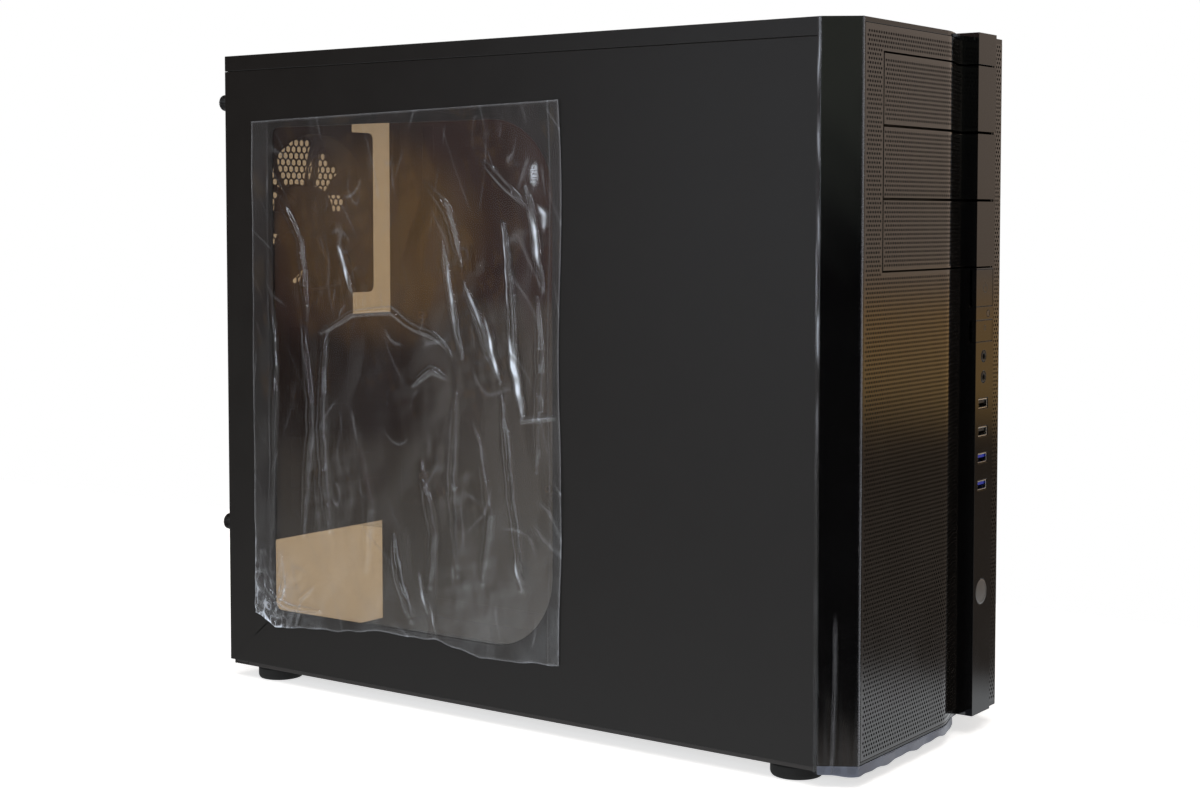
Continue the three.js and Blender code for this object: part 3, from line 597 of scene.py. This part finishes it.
# Each fold is a line of (y, z) points on the panel, with its half width and its height.
FOLDS = [
    ([(-2, 326), (-12, 262), (-20, 202)], 2.2, 2.6),
    ([(26, 288), (10, 248), (-3, 226)], 2.0, 2.2),
    ([(48, 314), (40, 276), (31, 238)], 2.4, 1.9),
    ([(-22, 348), (-29, 330), (-36, 284)], 1.9, 2.2),
    ([(-4, 216), (-10, 150), (-18, 92)], 2.8, 2.0),
    ([(36, 214), (40, 160), (33, 98)], 2.6, 1.7),
    ([(90, 118), (84, 90), (74, 58)], 3.3, 2.4),
    ([(172, 254), (168, 180), (174, 112)], 3.7, 1.5),
    ([(153, 256), (158, 186), (152, 116)], 3.2, 1.7),
    ([(158, 252), (128, 266), (92, 268), (60, 256), (40, 240)], 2.0, 1.9),
    ([(-18, 203), (-46, 204)], 1.7, 1.4),
    ([(140, 310), (134, 296), (126, 281)], 1.4, 1.3),
    ([(196, 346), (178, 316), (170, 262)], 3.2, 1.4),
    ([(60, 352), (44, 334), (30, 300)], 2.8, 1.4),
    ([(72, 222), (58, 232), (46, 226)], 1.9, 1.5),
    ([(12, 366), (-6, 350), (-22, 338)], 2.0, 1.7),
    ([(66, 170), (58, 120), (62, 84)], 3.3, 1.4),
    ([(120, 170), (112, 130), (118, 92)], 4.2, 0.9),
    ([(18, 190), (10, 140), (14, 96)], 2.8, 1.2),
    ([(-30, 280), (-32, 230), (-30, 170)], 2.4, 1.3),
    ([(205, 300), (202, 200), (208, 100)], 2.8, 0.9),
    ([(212, 70), (188, 62), (160, 58)], 2.0, 2.0),
    ([(206, 58), (196, 78), (200, 96)], 2.2, 1.9),
    ([(184, 50), (178, 68), (166, 76)], 2.0, 1.6),
]


def crinkles(y, z, seed, size, sharp=0.07):
    """Thin crease lines that wander across the sheet."""
    return np.exp(-(waves(y, z, seed, 8, size * 0.6, size * 1.7, 0.45) / sharp) ** 2)


# Painted highlights, the brightest lines on the folds: points, half width and brightness.
GLINTS = [
    ([(-1, 327), (-5, 298), (-10, 268)], 0.9, 0.85),
    ([(-12, 262), (-17, 232), (-20, 203)], 1.0, 1.0),
    ([(10, 264), (4, 247), (-2, 228)], 1.1, 0.95),
    ([(24, 286), (17, 270), (12, 258)], 0.7, 0.45),
    ([(44, 306), (38, 276), (33, 244)], 0.8, 0.55),
    ([(-28, 334), (-32, 322), (-35, 300)], 0.9, 0.8),
    ([(-33, 336), (-37, 331), (-38, 322)], 1.4, 0.9),
    ([(139, 310), (133, 296), (127, 281)], 0.7, 0.8),
    ([(-13, 112), (-16, 100), (-19, 91)], 1.1, 0.6),
    ([(-20, 203), (-32, 203), (-45, 204)], 0.6, 0.45),
    ([(214, 52), (206, 46), (196, 50)], 0.9, 0.6),
    ([(199, 44), (186, 46), (172, 45)], 0.8, 0.5),
    ([(60, 72), (56, 58), (53, 51)], 0.8, 0.45),
    ([(176, 262), (172, 238), (170, 214)], 0.6, 0.35),
    ([(70, 92), (66, 76), (62, 64)], 0.8, 0.5),
]


def film_height(y, z, low, high):
    """How far the window film stands off the panel, and its crease mark: real creases carrying painted
    highlights.
    """
    height = np.zeros(y.shape)
    crease_glint = np.zeros(y.shape)
    wobble_y = waves(y, z, 3, 5, 40, 90, 1.2) * 1.5 + waves(y, z, 5, 5, 12, 25, 1.2) * 0.35
    wobble_z = waves(y, z, 4, 5, 40, 90, 1.2) * 1.5
    # Painted highlights run along both edges of each fold.
    for line, width, tall in FOLDS:
        ridge, edges = fold_along(y + wobble_y, z + wobble_z, line, width)
        height += tall * ridge
        crease_glint += (0.055 + 0.155 * tall) * edges
    broad = waves(y, z, 7, 9, 38, 95, 0.5)
    height += 0.5 * np.clip(broad, -0.4, 2.0)
    patch = np.clip(waves(y, z, 13, 6, 60, 140, 2.0) + 0.1, 0, 1.2)
    height += 0.14 * waves(y, z, 11, 12, 9, 26, 0.9) * patch
    # Crinkle lines: painted highlights on thin creases.
    crease_glint += 0.24 * crinkles(y, z, 31, 30) * patch * np.clip(2 * waves(y, z, 32, 6, 14, 40, 0.8), 0, 1)
    crease_glint += 0.21 * crinkles(y, z, 33, 55, 0.05) * np.clip(1.5 * waves(y, z, 34, 6, 30, 80, 0.8), 0, 1)
    crease_glint += 0.25 * crinkles(y, z, 36, 80, 0.035) * np.clip(1.5 * waves(y, z, 37, 6, 25, 70, 0.8), 0, 1)
    # The crease mark grows towards the bottom of the film, painting it lighter there.
    lower = np.clip((150 - z) / 90, 0, 1)
    crease_glint += 0.03 * lower + 0.07 * lower * np.clip(waves(y, z, 35, 10, 14, 60, 0.9), 0, 2)
    # The lower rear corner is crinkled, with painted highlights on its crinkles.
    corner = np.exp(-(np.hypot(y - high.y, z - low.z) / 36) ** 2)
    height += corner * (0.9 + 0.5 * waves(y, z, 17, 12, 7, 20, 2.0))
    crease_glint += corner * (0.16 + 0.55 * crinkles(y, z, 18, 12, 0.2))
    # The film is folded over along its front edge: raised and a little more opaque there, with a painted
    # highlight along the fold. A second painted line runs near the rear edge.
    fold_y = low.y + 9.0
    doubled = 1 / (1 + np.exp((y - fold_y) / 0.5))
    height += 0.35 * doubled
    crease_glint += 0.04 * doubled + 0.22 * np.exp(-((y - fold_y) / 0.6) ** 2)
    second = 1 / (1 + np.exp((high.y - 15.5 - y) / 0.5))
    crease_glint += 0.03 * second + 0.14 * np.exp(-((y - high.y + 15.5) / 0.6) ** 2)
    # A painted highlight along the film's outer rim.
    rim = np.minimum.reduce([y - low.y, high.y - y, z - low.z, high.z - z])
    crease_glint += 0.34 * np.exp(-(rim / 1.0) ** 2)
    # Painted glints on the folds.
    for line, width, bright in GLINTS:
        ridge, _ = fold_along(y + wobble_y, z + wobble_z, line, 1.3 * width)
        crease_glint += 1.25 * bright * ridge * (0.8 + 0.2 * np.sin(z / 2.3))
    return FILM_REST + height - height.min(), np.clip(crease_glint, 0, 1)


# Stores the crease mark, the painted highlights, on the points for the film materials.
def store_crease_glints(thing, crease_glints):
    values = np.array(crease_glints, np.float32).ravel()
    thing.data.attributes.new("crease_glint", "FLOAT", "POINT").data.foreach_set("value", values)


def window_film():
    """The wrinkled film over the window, held only by clinging to the panel."""
    low, high = box_of("window_film")
    panel = box_of("left_side_panel")[0].x
    wide, tall = high.y - low.y, high.z - low.z
    step = 0.75
    y, z = np.meshgrid(np.linspace(low.y, high.y, int(wide / step) + 1),
                       np.linspace(low.z, high.z, int(tall / step) + 1), indexing="ij")
    height, crease_glint = film_height(y, z, low, high)
    share = (high.z - z) / tall
    hang = np.interp(y, *zip(*LOWER_EDGE)) - low.z + 0.5 * np.sin(y / 3.7) * np.sin(y / 29.0)
    lift = 3.5 - 6.0 * (y - low.y) / wide
    z = z + hang * share ** 6 + lift * (1 - share) ** 3
    y = y + 1.2 * np.sin(z / 31.0) * ((high.y - y) / wide) ** 4
    verts = np.stack([panel - height, y, z], axis=-1).reshape(-1, 3) * MM
    mesh = bpy.data.meshes.new("wrinkled_film")
    mesh.from_pydata(verts.tolist(), [], grid_faces(*y.shape))
    mesh.materials.append(FILM)
    mesh.polygons.foreach_set("use_smooth", [True] * len(mesh.polygons))
    made = new_object("wrinkled_film", mesh)
    store_crease_glints(made, crease_glint)
    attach(made, "left_panel")
    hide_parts("window_film")


def chamfer_strip(rear, across, out, wide, bottom, top):
    """The film on the chamfer, which laps round onto the side panel: its points and its crease mark, painted
    highlights along its fold and edges.
    """
    u, z = np.meshgrid(np.linspace(-FILM_LAP, wide + FRONT_LAP, 36), np.linspace(bottom, top, 430),
                       indexing="ij")
    loose = np.exp(-(z - bottom) / 75.0)
    middle_line = 9.4 + (z - 50) * 0.016 + 0.5 * np.sin((z - 20) / 24.0)
    fold = np.exp(-((u - middle_line) / 0.6) ** 2) * np.clip((104 - z) / 16, 0, 1)
    ripple = waves(u * 2, z, 23, 7, 30, 90, 2.0)
    height = FILM_REST + 0.1 * np.clip(ripple, -1, 1.5) + 1.3 * fold + 0.4 * loose * (1 + np.sin(u * 0.7))
    uneven = 0.45 + 0.4 * np.clip(waves(u, z, 24, 7, 15, 70, 3.0), -1, 1)
    rear_line = -1.2 + 0.35 * np.sin(z / 17) + 0.2 * np.sin(z / 6.1)
    # Painted highlights along the strip's front and rear edges; the return adds a fainter one on the fold.
    edge = 0.5 * np.exp(-((u - wide - 0.3) / 0.7) ** 2)
    edge += uneven * np.exp(-((u - rear_line) / 0.7) ** 2) * np.clip((z - 150) / 120, 0.12, 1)
    lap = np.minimum(u, 0)
    turn = np.clip(1 + lap / 1.5, 0, 1)
    x = rear[0] + across[0] * (u - lap) + (out[0] * turn - (1 - turn)) * height
    y = rear[1] + across[1] * (u - lap) - lap + out[1] * turn * height
    return np.stack([x, y, z], axis=-1), np.clip(0.35 * fold + edge, 0, 1)


def loose_flap(front, across, out, wide, reach, bottom):
    """The strip's loose end, along the chamfer's foot, the front and its cove: points and a crease mark of
    painted highlights along its edges.
    """
    run, down = np.meshgrid(np.linspace(-wide, reach, 130), np.linspace(0, 1, 7), indexing="ij")
    back = np.minimum(run, 0)
    share = (run - back) / reach
    drop = -4.8 + 0.8 * share - 0.06 * back + 0.5 * np.sin(run / 7.0) + 0.35 * np.sin(run / 3.1)
    lean = 0.45 + 0.5 * down * (1 - share) + 0.25 * np.sin(run / 5.0) * down
    x = front[0] + across[0] * back + (run - back) + np.where(run < 0, out[0] * lean, 0)
    y = front[1] + across[1] * back - np.where(run < 0, -out[1] * lean, lean)
    y += COVE_DEEP * ease(np.clip(1 - (box_of("front_mesh")[1].x - x) / COVE_WIDE, 0, 1))
    z = bottom + 1.2 + (drop - 1.2) * down
    # Painted highlights along the flap's upper and lower edges, and faint ones along its length.
    crease_glint = 0.16 * (down > 0.9) + 0.16 * (down < 0.1) + 0.05 * np.sin(run / 6.0) ** 2
    return np.stack([x, y, z], axis=-1), crease_glint


def corner_film():
    """The clear strip over the bezel's left chamfer, whose loose lower end runs along the front."""
    low, high = box_of("bezel_film")
    bezel_low, bezel_high = box_of("front_bezel")
    rear = np.array([bezel_low.x, box_of("left_side_panel")[0].y - 0.6])
    front = np.array([bezel_low.x + BEZEL_CORNER, box_of("front_mesh")[0].y])
    wide = float(np.linalg.norm(front - rear))
    across = (front - rear) / wide
    out = np.array([across[1], -across[0]])
    top = bezel_high.z - 1.5
    reach = high.x + 13 - front[0]
    shape = Shape()
    crease_glints = []
    for slot, (points, crease_glint) in enumerate((chamfer_strip(rear, across, out, wide, low.z, top),
                                             loose_flap(front, across, out, wide, reach, bezel_low.z))):
        shape.add(points.reshape(-1, 3), grid_faces(*crease_glint.shape), slot)
        crease_glints.extend(crease_glint.ravel())
    made = shape.piece("corner_film", "bezel", [CORNER, FOLDED_PAINTED_SHADE], ["bezel_film"], angle=80)
    store_crease_glints(made, crease_glints)


# ---- Rear ----
VENT_PITCH = 5.6
VENT_HOLE = 2.75
VENT_RADIUS = 54.5
FAN_SCREW = 52.5
SLOT_NUMBERS = range(1, 8)
SOCKET_CUTOUT = (21.75, 65.75, 257, 415)
POWER_SUPPLY_CUTOUT = (-87.25, 54.75, 15, 93)


def rear_panel():
    low, high = box_of("rear_panel")
    fan = middle("rear_fan_frame")
    rear = high.y
    holes = [rectangle(*SOCKET_CUTOUT), rectangle(*POWER_SUPPLY_CUTOUT)]
    for number in SLOT_NUMBERS:
        cover_low, cover_high = box_of(f"slot_cover_{number}")
        holes.append(rectangle(cover_low.x + 6, cover_high.x - 5, cover_low.z + 2.6, cover_low.z + 15.6))
    holes += honeycomb(fan.x - 60, fan.x + 60, fan.z - 60, fan.z + 60, VENT_PITCH, VENT_HOLE,
                       lambda u, v: math.hypot(u - fan.x, v - fan.z) < VENT_RADIUS)
    holes += [circle(x, z, 2.2, 16) for x, z in four_corners(fan, FAN_SCREW)]
    for side in ("left", "right"):
        for height in ("lower", "upper"):
            screw = middle(f"thumbscrew_{side}_{height}")
            holes.append(circle(screw.x, screw.z, 2.3, 16))
    shape = Shape()
    shape.plate(rectangle(low.x, high.x, low.z, high.z), holes, on_y(rear), on_y(rear - SHEET))
    for x in (low.x, high.x - SHEET):
        shape.box(x, x + SHEET, low.y, rear - SHEET, low.z + 17.5, high.z)
    shape.piece("honeycomb_rear_panel", "chassis", [CHASSIS], ["rear_panel"])


def small_screws():
    """Screws that hold the slot covers and the rear fan, and the spacers for a motherboard."""
    rear = box_of("rear_panel")[1].y
    slot_head = [(3.2, 0.02), (3.2, 1.6), (2.8, 2.1), (1.1, 2.1), (0.9, 1.2), (0.05, 1.2)]
    fan_head = [(3.9, 0.02), (3.9, 0.5), (3.0, 1.3), (1.2, 1.5), (1.0, 0.7), (0.05, 0.7)]
    heads = Shape()
    for number in SLOT_NUMBERS:
        cover_low, cover_high = box_of(f"slot_cover_{number}")
        heads.lathe(slot_head, (cover_high.x - 0.5, rear, cover_low.z + 9), sides=24)
    for x, z in four_corners(middle("rear_fan_frame"), FAN_SCREW):
        heads.lathe(fan_head, (x, rear, z), sides=24)
    heads.piece("rear_screws", "chassis", [SCREW])
    tray = box_of("motherboard_tray")[0]
    spacer = [(2.9, 0.02), (2.9, -6.0), (2.5, -6.5), (1.6, -6.5), (1.5, -3.5), (0.05, -3.5)]
    first_y, first_z = 219.5, 409.8
    spacers = Shape()
    for forward in (0, 124.5, 227.3):
        for down in (0, 154.9, 281.9):
            spacers.lathe(spacer, (tray.x, first_y - forward, first_z - down), "X", 6)
    spacers.piece("motherboard_spacers", "chassis", [BRASS])


def seam_rails():
    """The chassis rails behind the side panels' upper seams, and gussets at the rear lower corners."""
    shape = Shape()
    seam = box_of("left_side_panel")[1].z
    flange_low, flange_high = box_of("rear_panel")
    front = box_of("front_frame")[1].y + 0.5
    rear = flange_high.y - 12.0
    for x0, x1 in ((flange_low.x, flange_low.x + 0.9), (flange_high.x - 0.9, flange_high.x)):
        shape.box(x0, x1, front, rear, seam - 7, seam + 6)
        shape.box(x0, x1, rear - 1.2, flange_high.y - 1.4, box_of("chassis_base")[0].z + 1.2, 25.7)
    shape.piece("seam_rails", "chassis", [CHASSIS])


def thumbscrew(side, height):
    name = f"thumbscrew_{side}_{height}"
    low, high = box_of(name)
    centre = (middle(name).x, 0.0, middle(name).z)
    seat = box_of(f"{side}_side_panel")[1].y + 0.3
    r, end = (high.x - low.x) / 2, high.y
    shank = [(1.7, low.y), (1.7, seat)]
    flange = [(r * 0.93, seat), (r * 0.93, seat + 0.6), (r * 0.72, seat + 0.9), (r * 0.72, seat + 1.6)]
    grip = [(r * 0.9, seat + 1.6), (r, seat + 2.0), (r, end - 0.7), (r * 0.93, end)]
    socket = [(r * 0.62, end + 0.01), (r * 0.55, end + 0.15), (2.4, end + 0.15), (2.1, end - 1.2),
              (0.05, end - 1.2)]
    shape = Shape()
    shape.lathe(shank + flange, centre, sides=40)
    shape.lathe(grip, centre, sides=64, ridge=0.075)
    shape.lathe(socket, centre, sides=40)
    shape.piece(f"knurled_screw_{side}_{height}", f"screw_{side}_{height}", [SCREW],
                [name], 25)


def foot(end, side):
    name = f"foot_{end}_{side}"
    low, high = box_of(name)
    r = (high.x - low.x) / 2
    centre = (middle(name).x, middle(name).y, low.z)
    top = high.z - low.z
    profile = [(0.05, 3.2), (3.4, 3.2), (3.6, 0.9), (6.5, 0.6), (7.2, 0.0), (r - 2.2, 0.0), (r - 1.0, 0.35),
               (r - 0.3, 1.3), (r, 2.6), (r, top - 0.8), (r - 0.6, top), (0.05, top)]
    shape = Shape()
    shape.lathe(profile, centre, "Z", 64)
    shape.piece(f"rubber_foot_{end}_{side}", "chassis", [RUBBER], [name])


# ---- Fans ----
def fan_frame(end, body):
    """Two flanges on a ring, posts around the screws, and a motor hub on four struts."""
    name = f"{end}_fan_frame"
    low, high = box_of(name)
    mid = middle(name)
    bore = (high.x - low.x) / 2 - 2.5
    flange = 3.6
    opening = circle(mid.x, mid.z, bore, 72)
    holes = [opening] + [circle(x, z, 2.15, 14) for x, z in four_corners(mid, FAN_SCREW)]
    outline = round_rectangle(low.x, high.x, low.z, high.z, 5)
    shape = Shape()
    for y0 in (low.y, high.y - flange):
        shape.plate(outline, holes, on_y(y0), on_y(y0 + flange))
    ring = circle(mid.x, mid.z, bore + 1.9, 72)
    shape.plate(ring, [opening], on_y(low.y + flange), on_y(high.y - flange))
    for x, z in four_corners(mid, FAN_SCREW):
        post = [(3.6, 0.0), (3.6, high.y - low.y - 2 * flange)]
        shape.lathe(post, (x, low.y + flange, z), sides=20)
    hub = 21.0
    y0, y1 = high.y - 3.4, high.y - 0.2
    shape.lathe([(hub, y0), (hub, y1 - 0.6), (hub - 0.6, y1), (0.05, y1)], (mid.x, 0, mid.z), sides=64)
    struts, half_strut = 4, 2.1
    for i in range(struts):
        start = FULL * (i + 0.5) / struts
        rail = []
        for k in range(9):
            t = k / 8
            radius = hub - 1.5 + t * (bore + 2.5 - hub)
            angle = start + 0.42 * t
            rail.append((mid.x + radius * math.cos(angle), mid.z + radius * math.sin(angle), angle))
        left = [(x - half_strut * math.sin(a), z + half_strut * math.cos(a)) for x, z, a in rail]
        right = [(x + half_strut * math.sin(a), z - half_strut * math.cos(a)) for x, z, a in rail]
        shape.plate(right + left[::-1], [], on_y(y0), on_y(y1 - 0.3))
    shape.plate(circle(mid.x, mid.z, 17.5, 64), [], on_y(y1), on_y(y1 + 0.12), 1)
    shape.piece(f"{end}_fan_housing", body, [FAN, LABEL], [name])


def fan_rotor(end, body, turn):
    """A hub with curved blades; turn is the angle of the first blade's root."""
    name = f"{end}_fan_rotor"
    low, high = box_of(name)
    centre = middle(f"{end}_fan_frame")
    hub, tip, blades = 19.0, 56.0, 7
    y0, y1 = low.y, high.y
    shape = Shape()
    cap = [(0.05, y0), (12.0, y0), (hub - 2.2, y0 + 0.5), (hub - 0.6, y0 + 1.6), (hub, y0 + 3.4), (hub, y1)]
    shape.lathe(cap, (centre.x, 0.0, centre.z), sides=64)
    spans, chords, thick = 12, 10, 0.75
    row = chords + 1
    half = (spans + 1) * row
    rims = [(i * row + k, row) for k in (0, chords) for i in range(spans)]
    rims += [(i * row + k, 1) for i in (0, spans) for k in range(chords)]
    faces = grid_faces(spans + 1, row)
    faces += [face[::-1] for face in grid_faces(spans + 1, row, half)]
    faces += [(a, a + step, half + a + step, half + a) for a, step in rims]
    for blade in range(blades):
        grid = []
        for side in (-1, 1):
            for i in range(spans + 1):
                t = i / spans
                radius = hub - 0.5 + t * (tip - hub + 0.5)
                start = turn + FULL * blade / blades - 0.30 * t * t
                wide = 0.53 - 0.03 * t
                for k in range(chords + 1):
                    s = k / chords
                    angle = start - wide * s
                    curl = 0.5 - 0.5 * math.cos(math.pi * (0.15 + 0.7 * s))
                    edge = thick * math.sin(math.pi * (0.06 + 0.88 * s))
                    y = y0 + 2.2 + (y1 - y0 - 4.0) * (curl - 0.053) / 0.9 + side * edge
                    grid.append((centre.x + radius * math.cos(angle), y, centre.z + radius * math.sin(angle)))
        shape.add(grid, faces)
    shape.piece(f"{end}_fan_blades", body, [FAN], [name], 50)


# ---- Underside ----
def dust_filter():
    """A frame of four windows with a net of crossed threads, and a pull at the rear."""
    low, high = box_of("dust_filter")
    rim, rib, count, pull = 7.0, 1.3, 4, 22
    back = high.y - 3.8
    pitch = (high.x - low.x - 2 * rim) / count
    lefts = [low.x + rim + i * pitch for i in range(count)]
    windows = [(x + rib, x + pitch - rib, low.y + rim, high.y - 21.7) for x in lefts]
    shape = Shape()
    shape.plate(rectangle(low.x, high.x, low.y, back), [rectangle(*w) for w in windows],
                on_z(low.z), on_z(low.z + 3))
    shape.box(0.75 - pull, 0.75 + pull, back, high.y, low.z, low.z + 4.2)
    half, mesh = 0.16, 2.4
    bottom = low.z + 1.3
    middle_z, top = bottom + 2 * half, bottom + 4 * half
    for x0, x1, y0, y1 in windows:
        for i in range(1, math.ceil((x1 - x0) / mesh)):
            x = x0 + i * mesh
            shape.box(x - half, x + half, y0, y1, bottom, middle_z, 1)
        for i in range(1, math.ceil((y1 - y0) / mesh)):
            y = y0 + i * mesh
            shape.box(x0, x1, y - half, y + half, middle_z, top, 1)
    shape.piece("filter_frame_and_net", "filter", [TRAY, NET], ["dust_filter"])


# ---- Camera, floor and light ----
def camera():
    """The view from the front left, from a little above the middle."""
    view = new_object("camera", bpy.data.cameras.new("camera"))
    heading, dip = 0.9468, 0.0555
    view.location = (-1.09365, -0.79117, 0.33149)
    view.rotation_euler = (math.pi / 2 - dip, 0, -heading)
    view.data.sensor_width = 36
    view.data.lens = 58.88
    view.data.shift_y = -0.0615
    bpy.context.scene.camera = view


def floor():
    mesh = bpy.data.meshes.new("floor")
    mesh.from_pydata([(x, y, 0) for x, y in rectangle(-3.0, 0.46, -1.2, 4.0)], [], [(0, 1, 2, 3)])
    made = new_object("floor", mesh)
    paper, _, shader = new_material("white_paper")
    for key, value in (("Base Color", (0.92, 0.92, 0.92, 1)), ("Roughness", 0.9), ("Specular IOR Level", 0.1),
                       ("Emission Color", (1, 1, 1, 1)), ("Emission Strength", 0.64)):
        shader.inputs[key].default_value = value
    mesh.materials.append(paper)
    made.visible_glossy = False


def facing(tree, source, direction, start, end):
    """A mask that rises from 0 to 1 as the ray turns towards a direction."""
    length = math.sqrt(sum(c * c for c in direction))
    dot = node(tree, "ShaderNodeVectorMath", {0: source, 1: [c / length for c in direction]},
               operation="DOT_PRODUCT")
    return node(tree, "ShaderNodeMapRange",
                {"Value": dot.outputs["Value"], "From Min": start, "From Max": end},
                interpolation_type="SMOOTHSTEP").outputs["Result"]


def by_height(tree, ray, stops):
    """Colours by the height of a ray's direction; stops are (height, colour)."""
    low, high = -0.4, 0.3
    height = node(tree, "ShaderNodeSeparateXYZ", {0: ray}).outputs["Z"]
    made = node(tree, "ShaderNodeValToRGB", {"Fac": spread(tree, height, 0.0, 1.0, low, high)})
    while len(made.color_ramp.elements) < len(stops):
        made.color_ramp.elements.new(0.5)
    for element, (place, color) in zip(made.color_ramp.elements, stops):
        element.position = (place - low) / (high - low)
        element.color = (*color, 1.0)
    return made.outputs["Color"]


# The room's colours by height, as the front and the window mirror it, and on the camera's side.
FRONT_ROOM = [
    (-0.34, (0.95, 1.0, 1.05)), (-0.236, (0.76, 0.78, 0.80)), (-0.222, (0.13, 0.11, 0.095)),
    (-0.112, (0.11, 0.08, 0.055)), (-0.086, (0.66, 0.41, 0.16)), (-0.05, (0.70, 0.43, 0.19)),
    (-0.025, (0.54, 0.42, 0.33)), (0.20, (0.72, 0.60, 0.52)),
]
WINDOW_ROOM = [
    (-0.40, (2.4, 2.5, 2.6)), (-0.28, (1.7, 1.8, 1.9)), (-0.20, (0.85, 0.85, 0.83)),
    (-0.118, (0.62, 0.58, 0.55)), (-0.106, (0.16, 0.10, 0.09)), (-0.062, (0.20, 0.12, 0.11)),
    (-0.048, (0.62, 0.37, 0.34)), (0.0, (0.76, 0.44, 0.34)), (0.022, (0.28, 0.17, 0.15)),
    (0.2, (0.10, 0.08, 0.06)),
]
WINDOW_ROOM_NEAR = [
    (-0.40, (2.4, 2.5, 2.6)), (-0.28, (1.6, 1.7, 1.8)), (-0.16, (0.74, 0.73, 0.71)),
    (-0.048, (0.60, 0.54, 0.51)), (-0.040, (0.30, 0.17, 0.17)), (0.03, (0.32, 0.18, 0.17)),
    (0.2, (0.13, 0.10, 0.085)),
]
LAMP_COLOR = (1.35, 0.86, 0.40)
CAMERA_ROOM = [
    (-0.34, (0.80, 0.76, 0.72)), (-0.262, (0.62, 0.57, 0.54)), (-0.250, (0.02, 0.018, 0.018)),
    (-0.02, (0.006, 0.005, 0.005)), (0.0, (0.08, 0.09, 0.08)), (0.06, (0.34, 0.37, 0.32)),
    (0.20, (0.42, 0.42, 0.36)),
]


def studio():
    """A white backdrop, and a soft warm room for everything that reflects."""
    world = bpy.data.worlds.new("studio")
    bpy.context.scene.world = world
    world.use_nodes = True
    tree = world.node_tree
    tree.nodes.clear()
    ray = node(tree, "ShaderNodeTexCoord").outputs["Generated"]

    def towards(direction, start, end, low, high):
        return blend_color(tree, facing(tree, ray, direction, start, end), low, high)

    room = towards((0, 0, -1), -0.06, 0.34, (0.29, 0.25, 0.22), (0.66, 0.69, 0.72))
    window = towards((-1, 0, 0), 0.742, 0.762, by_height(tree, ray, WINDOW_ROOM),
                     by_height(tree, ray, WINDOW_ROOM_NEAR))
    window = towards((-0.741, 0.671, -0.012), 0.9982, 0.9997, window, LAMP_COLOR)
    room = towards((-0.85, 0.53, 0), 0.70, 0.86, room, window)
    dim = towards((-0.45, 0.89, 0), 0.84, 0.98, (1.0, 1.0, 1.0), (0.18, 0.15, 0.12))
    room = blend_color(tree, 1.0, room, dim, "MULTIPLY")
    room = towards((0.893, -0.438, 0), 0.76, 0.90, room, by_height(tree, ray, FRONT_ROOM))
    room = towards((-0.83, -0.55, 0), 0.84, 0.95, room, by_height(tree, ray, CAMERA_ROOM))
    soft = node(tree, "ShaderNodeBackground", {"Color": room, "Strength": 1.0})
    white = node(tree, "ShaderNodeBackground", {"Color": (1, 1, 1, 1), "Strength": 1.0})
    seen = node(tree, "ShaderNodeLightPath").outputs["Is Camera Ray"]
    node(tree, "ShaderNodeOutputWorld", {"Surface": blend_shader(tree, seen, soft, white).outputs[0]})


def area_light(name, place, target, wide, tall, watts, color):
    data = bpy.data.lights.new(name, "AREA")
    data.shape = "RECTANGLE"
    data.size, data.size_y = wide, tall
    data.energy = watts
    data.color = color
    made = new_object(name, data)
    made.location = place
    made.rotation_euler = (Vector(target) - Vector(place)).to_track_quat("-Z", "Y").to_euler()
    made.visible_camera = False


def lights():
    data = bpy.data.lights.new("sky", "SUN")
    data.energy = 1.3
    data.angle = math.radians(50)
    sun = new_object("sky", data)
    sun.rotation_euler = (math.radians(8), math.radians(-6), 0)
    area_light("room_window", (-2.0, 0.02, 0.7), (-0.1, 0.0, 0.25), 0.8, 1.2, 8.0, (0.80, 0.90, 1.0))
    area_light("bright_strip", (-1.55, 0.66, 0.5), (-0.1, 0.08, 0.22), 0.07, 0.8, 2.4, (0.82, 0.9, 1.0))


def build():
    camera()
    floor()
    studio()
    lights()
    finish_cad_nodes()
    perforated_front()
    perforated_margin()
    for number in (1, 2, 3):
        bay_cover(number)
    bay_dividers()
    sockets()
    badge_and_icons()
    window_film()
    corner_film()
    rear_panel()
    small_screws()
    seam_rails()
    for side in ("left", "right"):
        for height in ("lower", "upper"):
            thumbscrew(side, height)
        for end in ("front", "rear"):
            foot(end, side)
    fan_frame("rear", "chassis")
    fan_frame("front", "chassis")
    fan_rotor("rear", "rear_rotor", 0.05)
    fan_rotor("front", "front_rotor", 0.1)
    dust_filter()


build()
scene = bpy.context.scene
scene.view_settings.view_transform = "Standard"
scene.cycles.transparent_max_bounces = 24
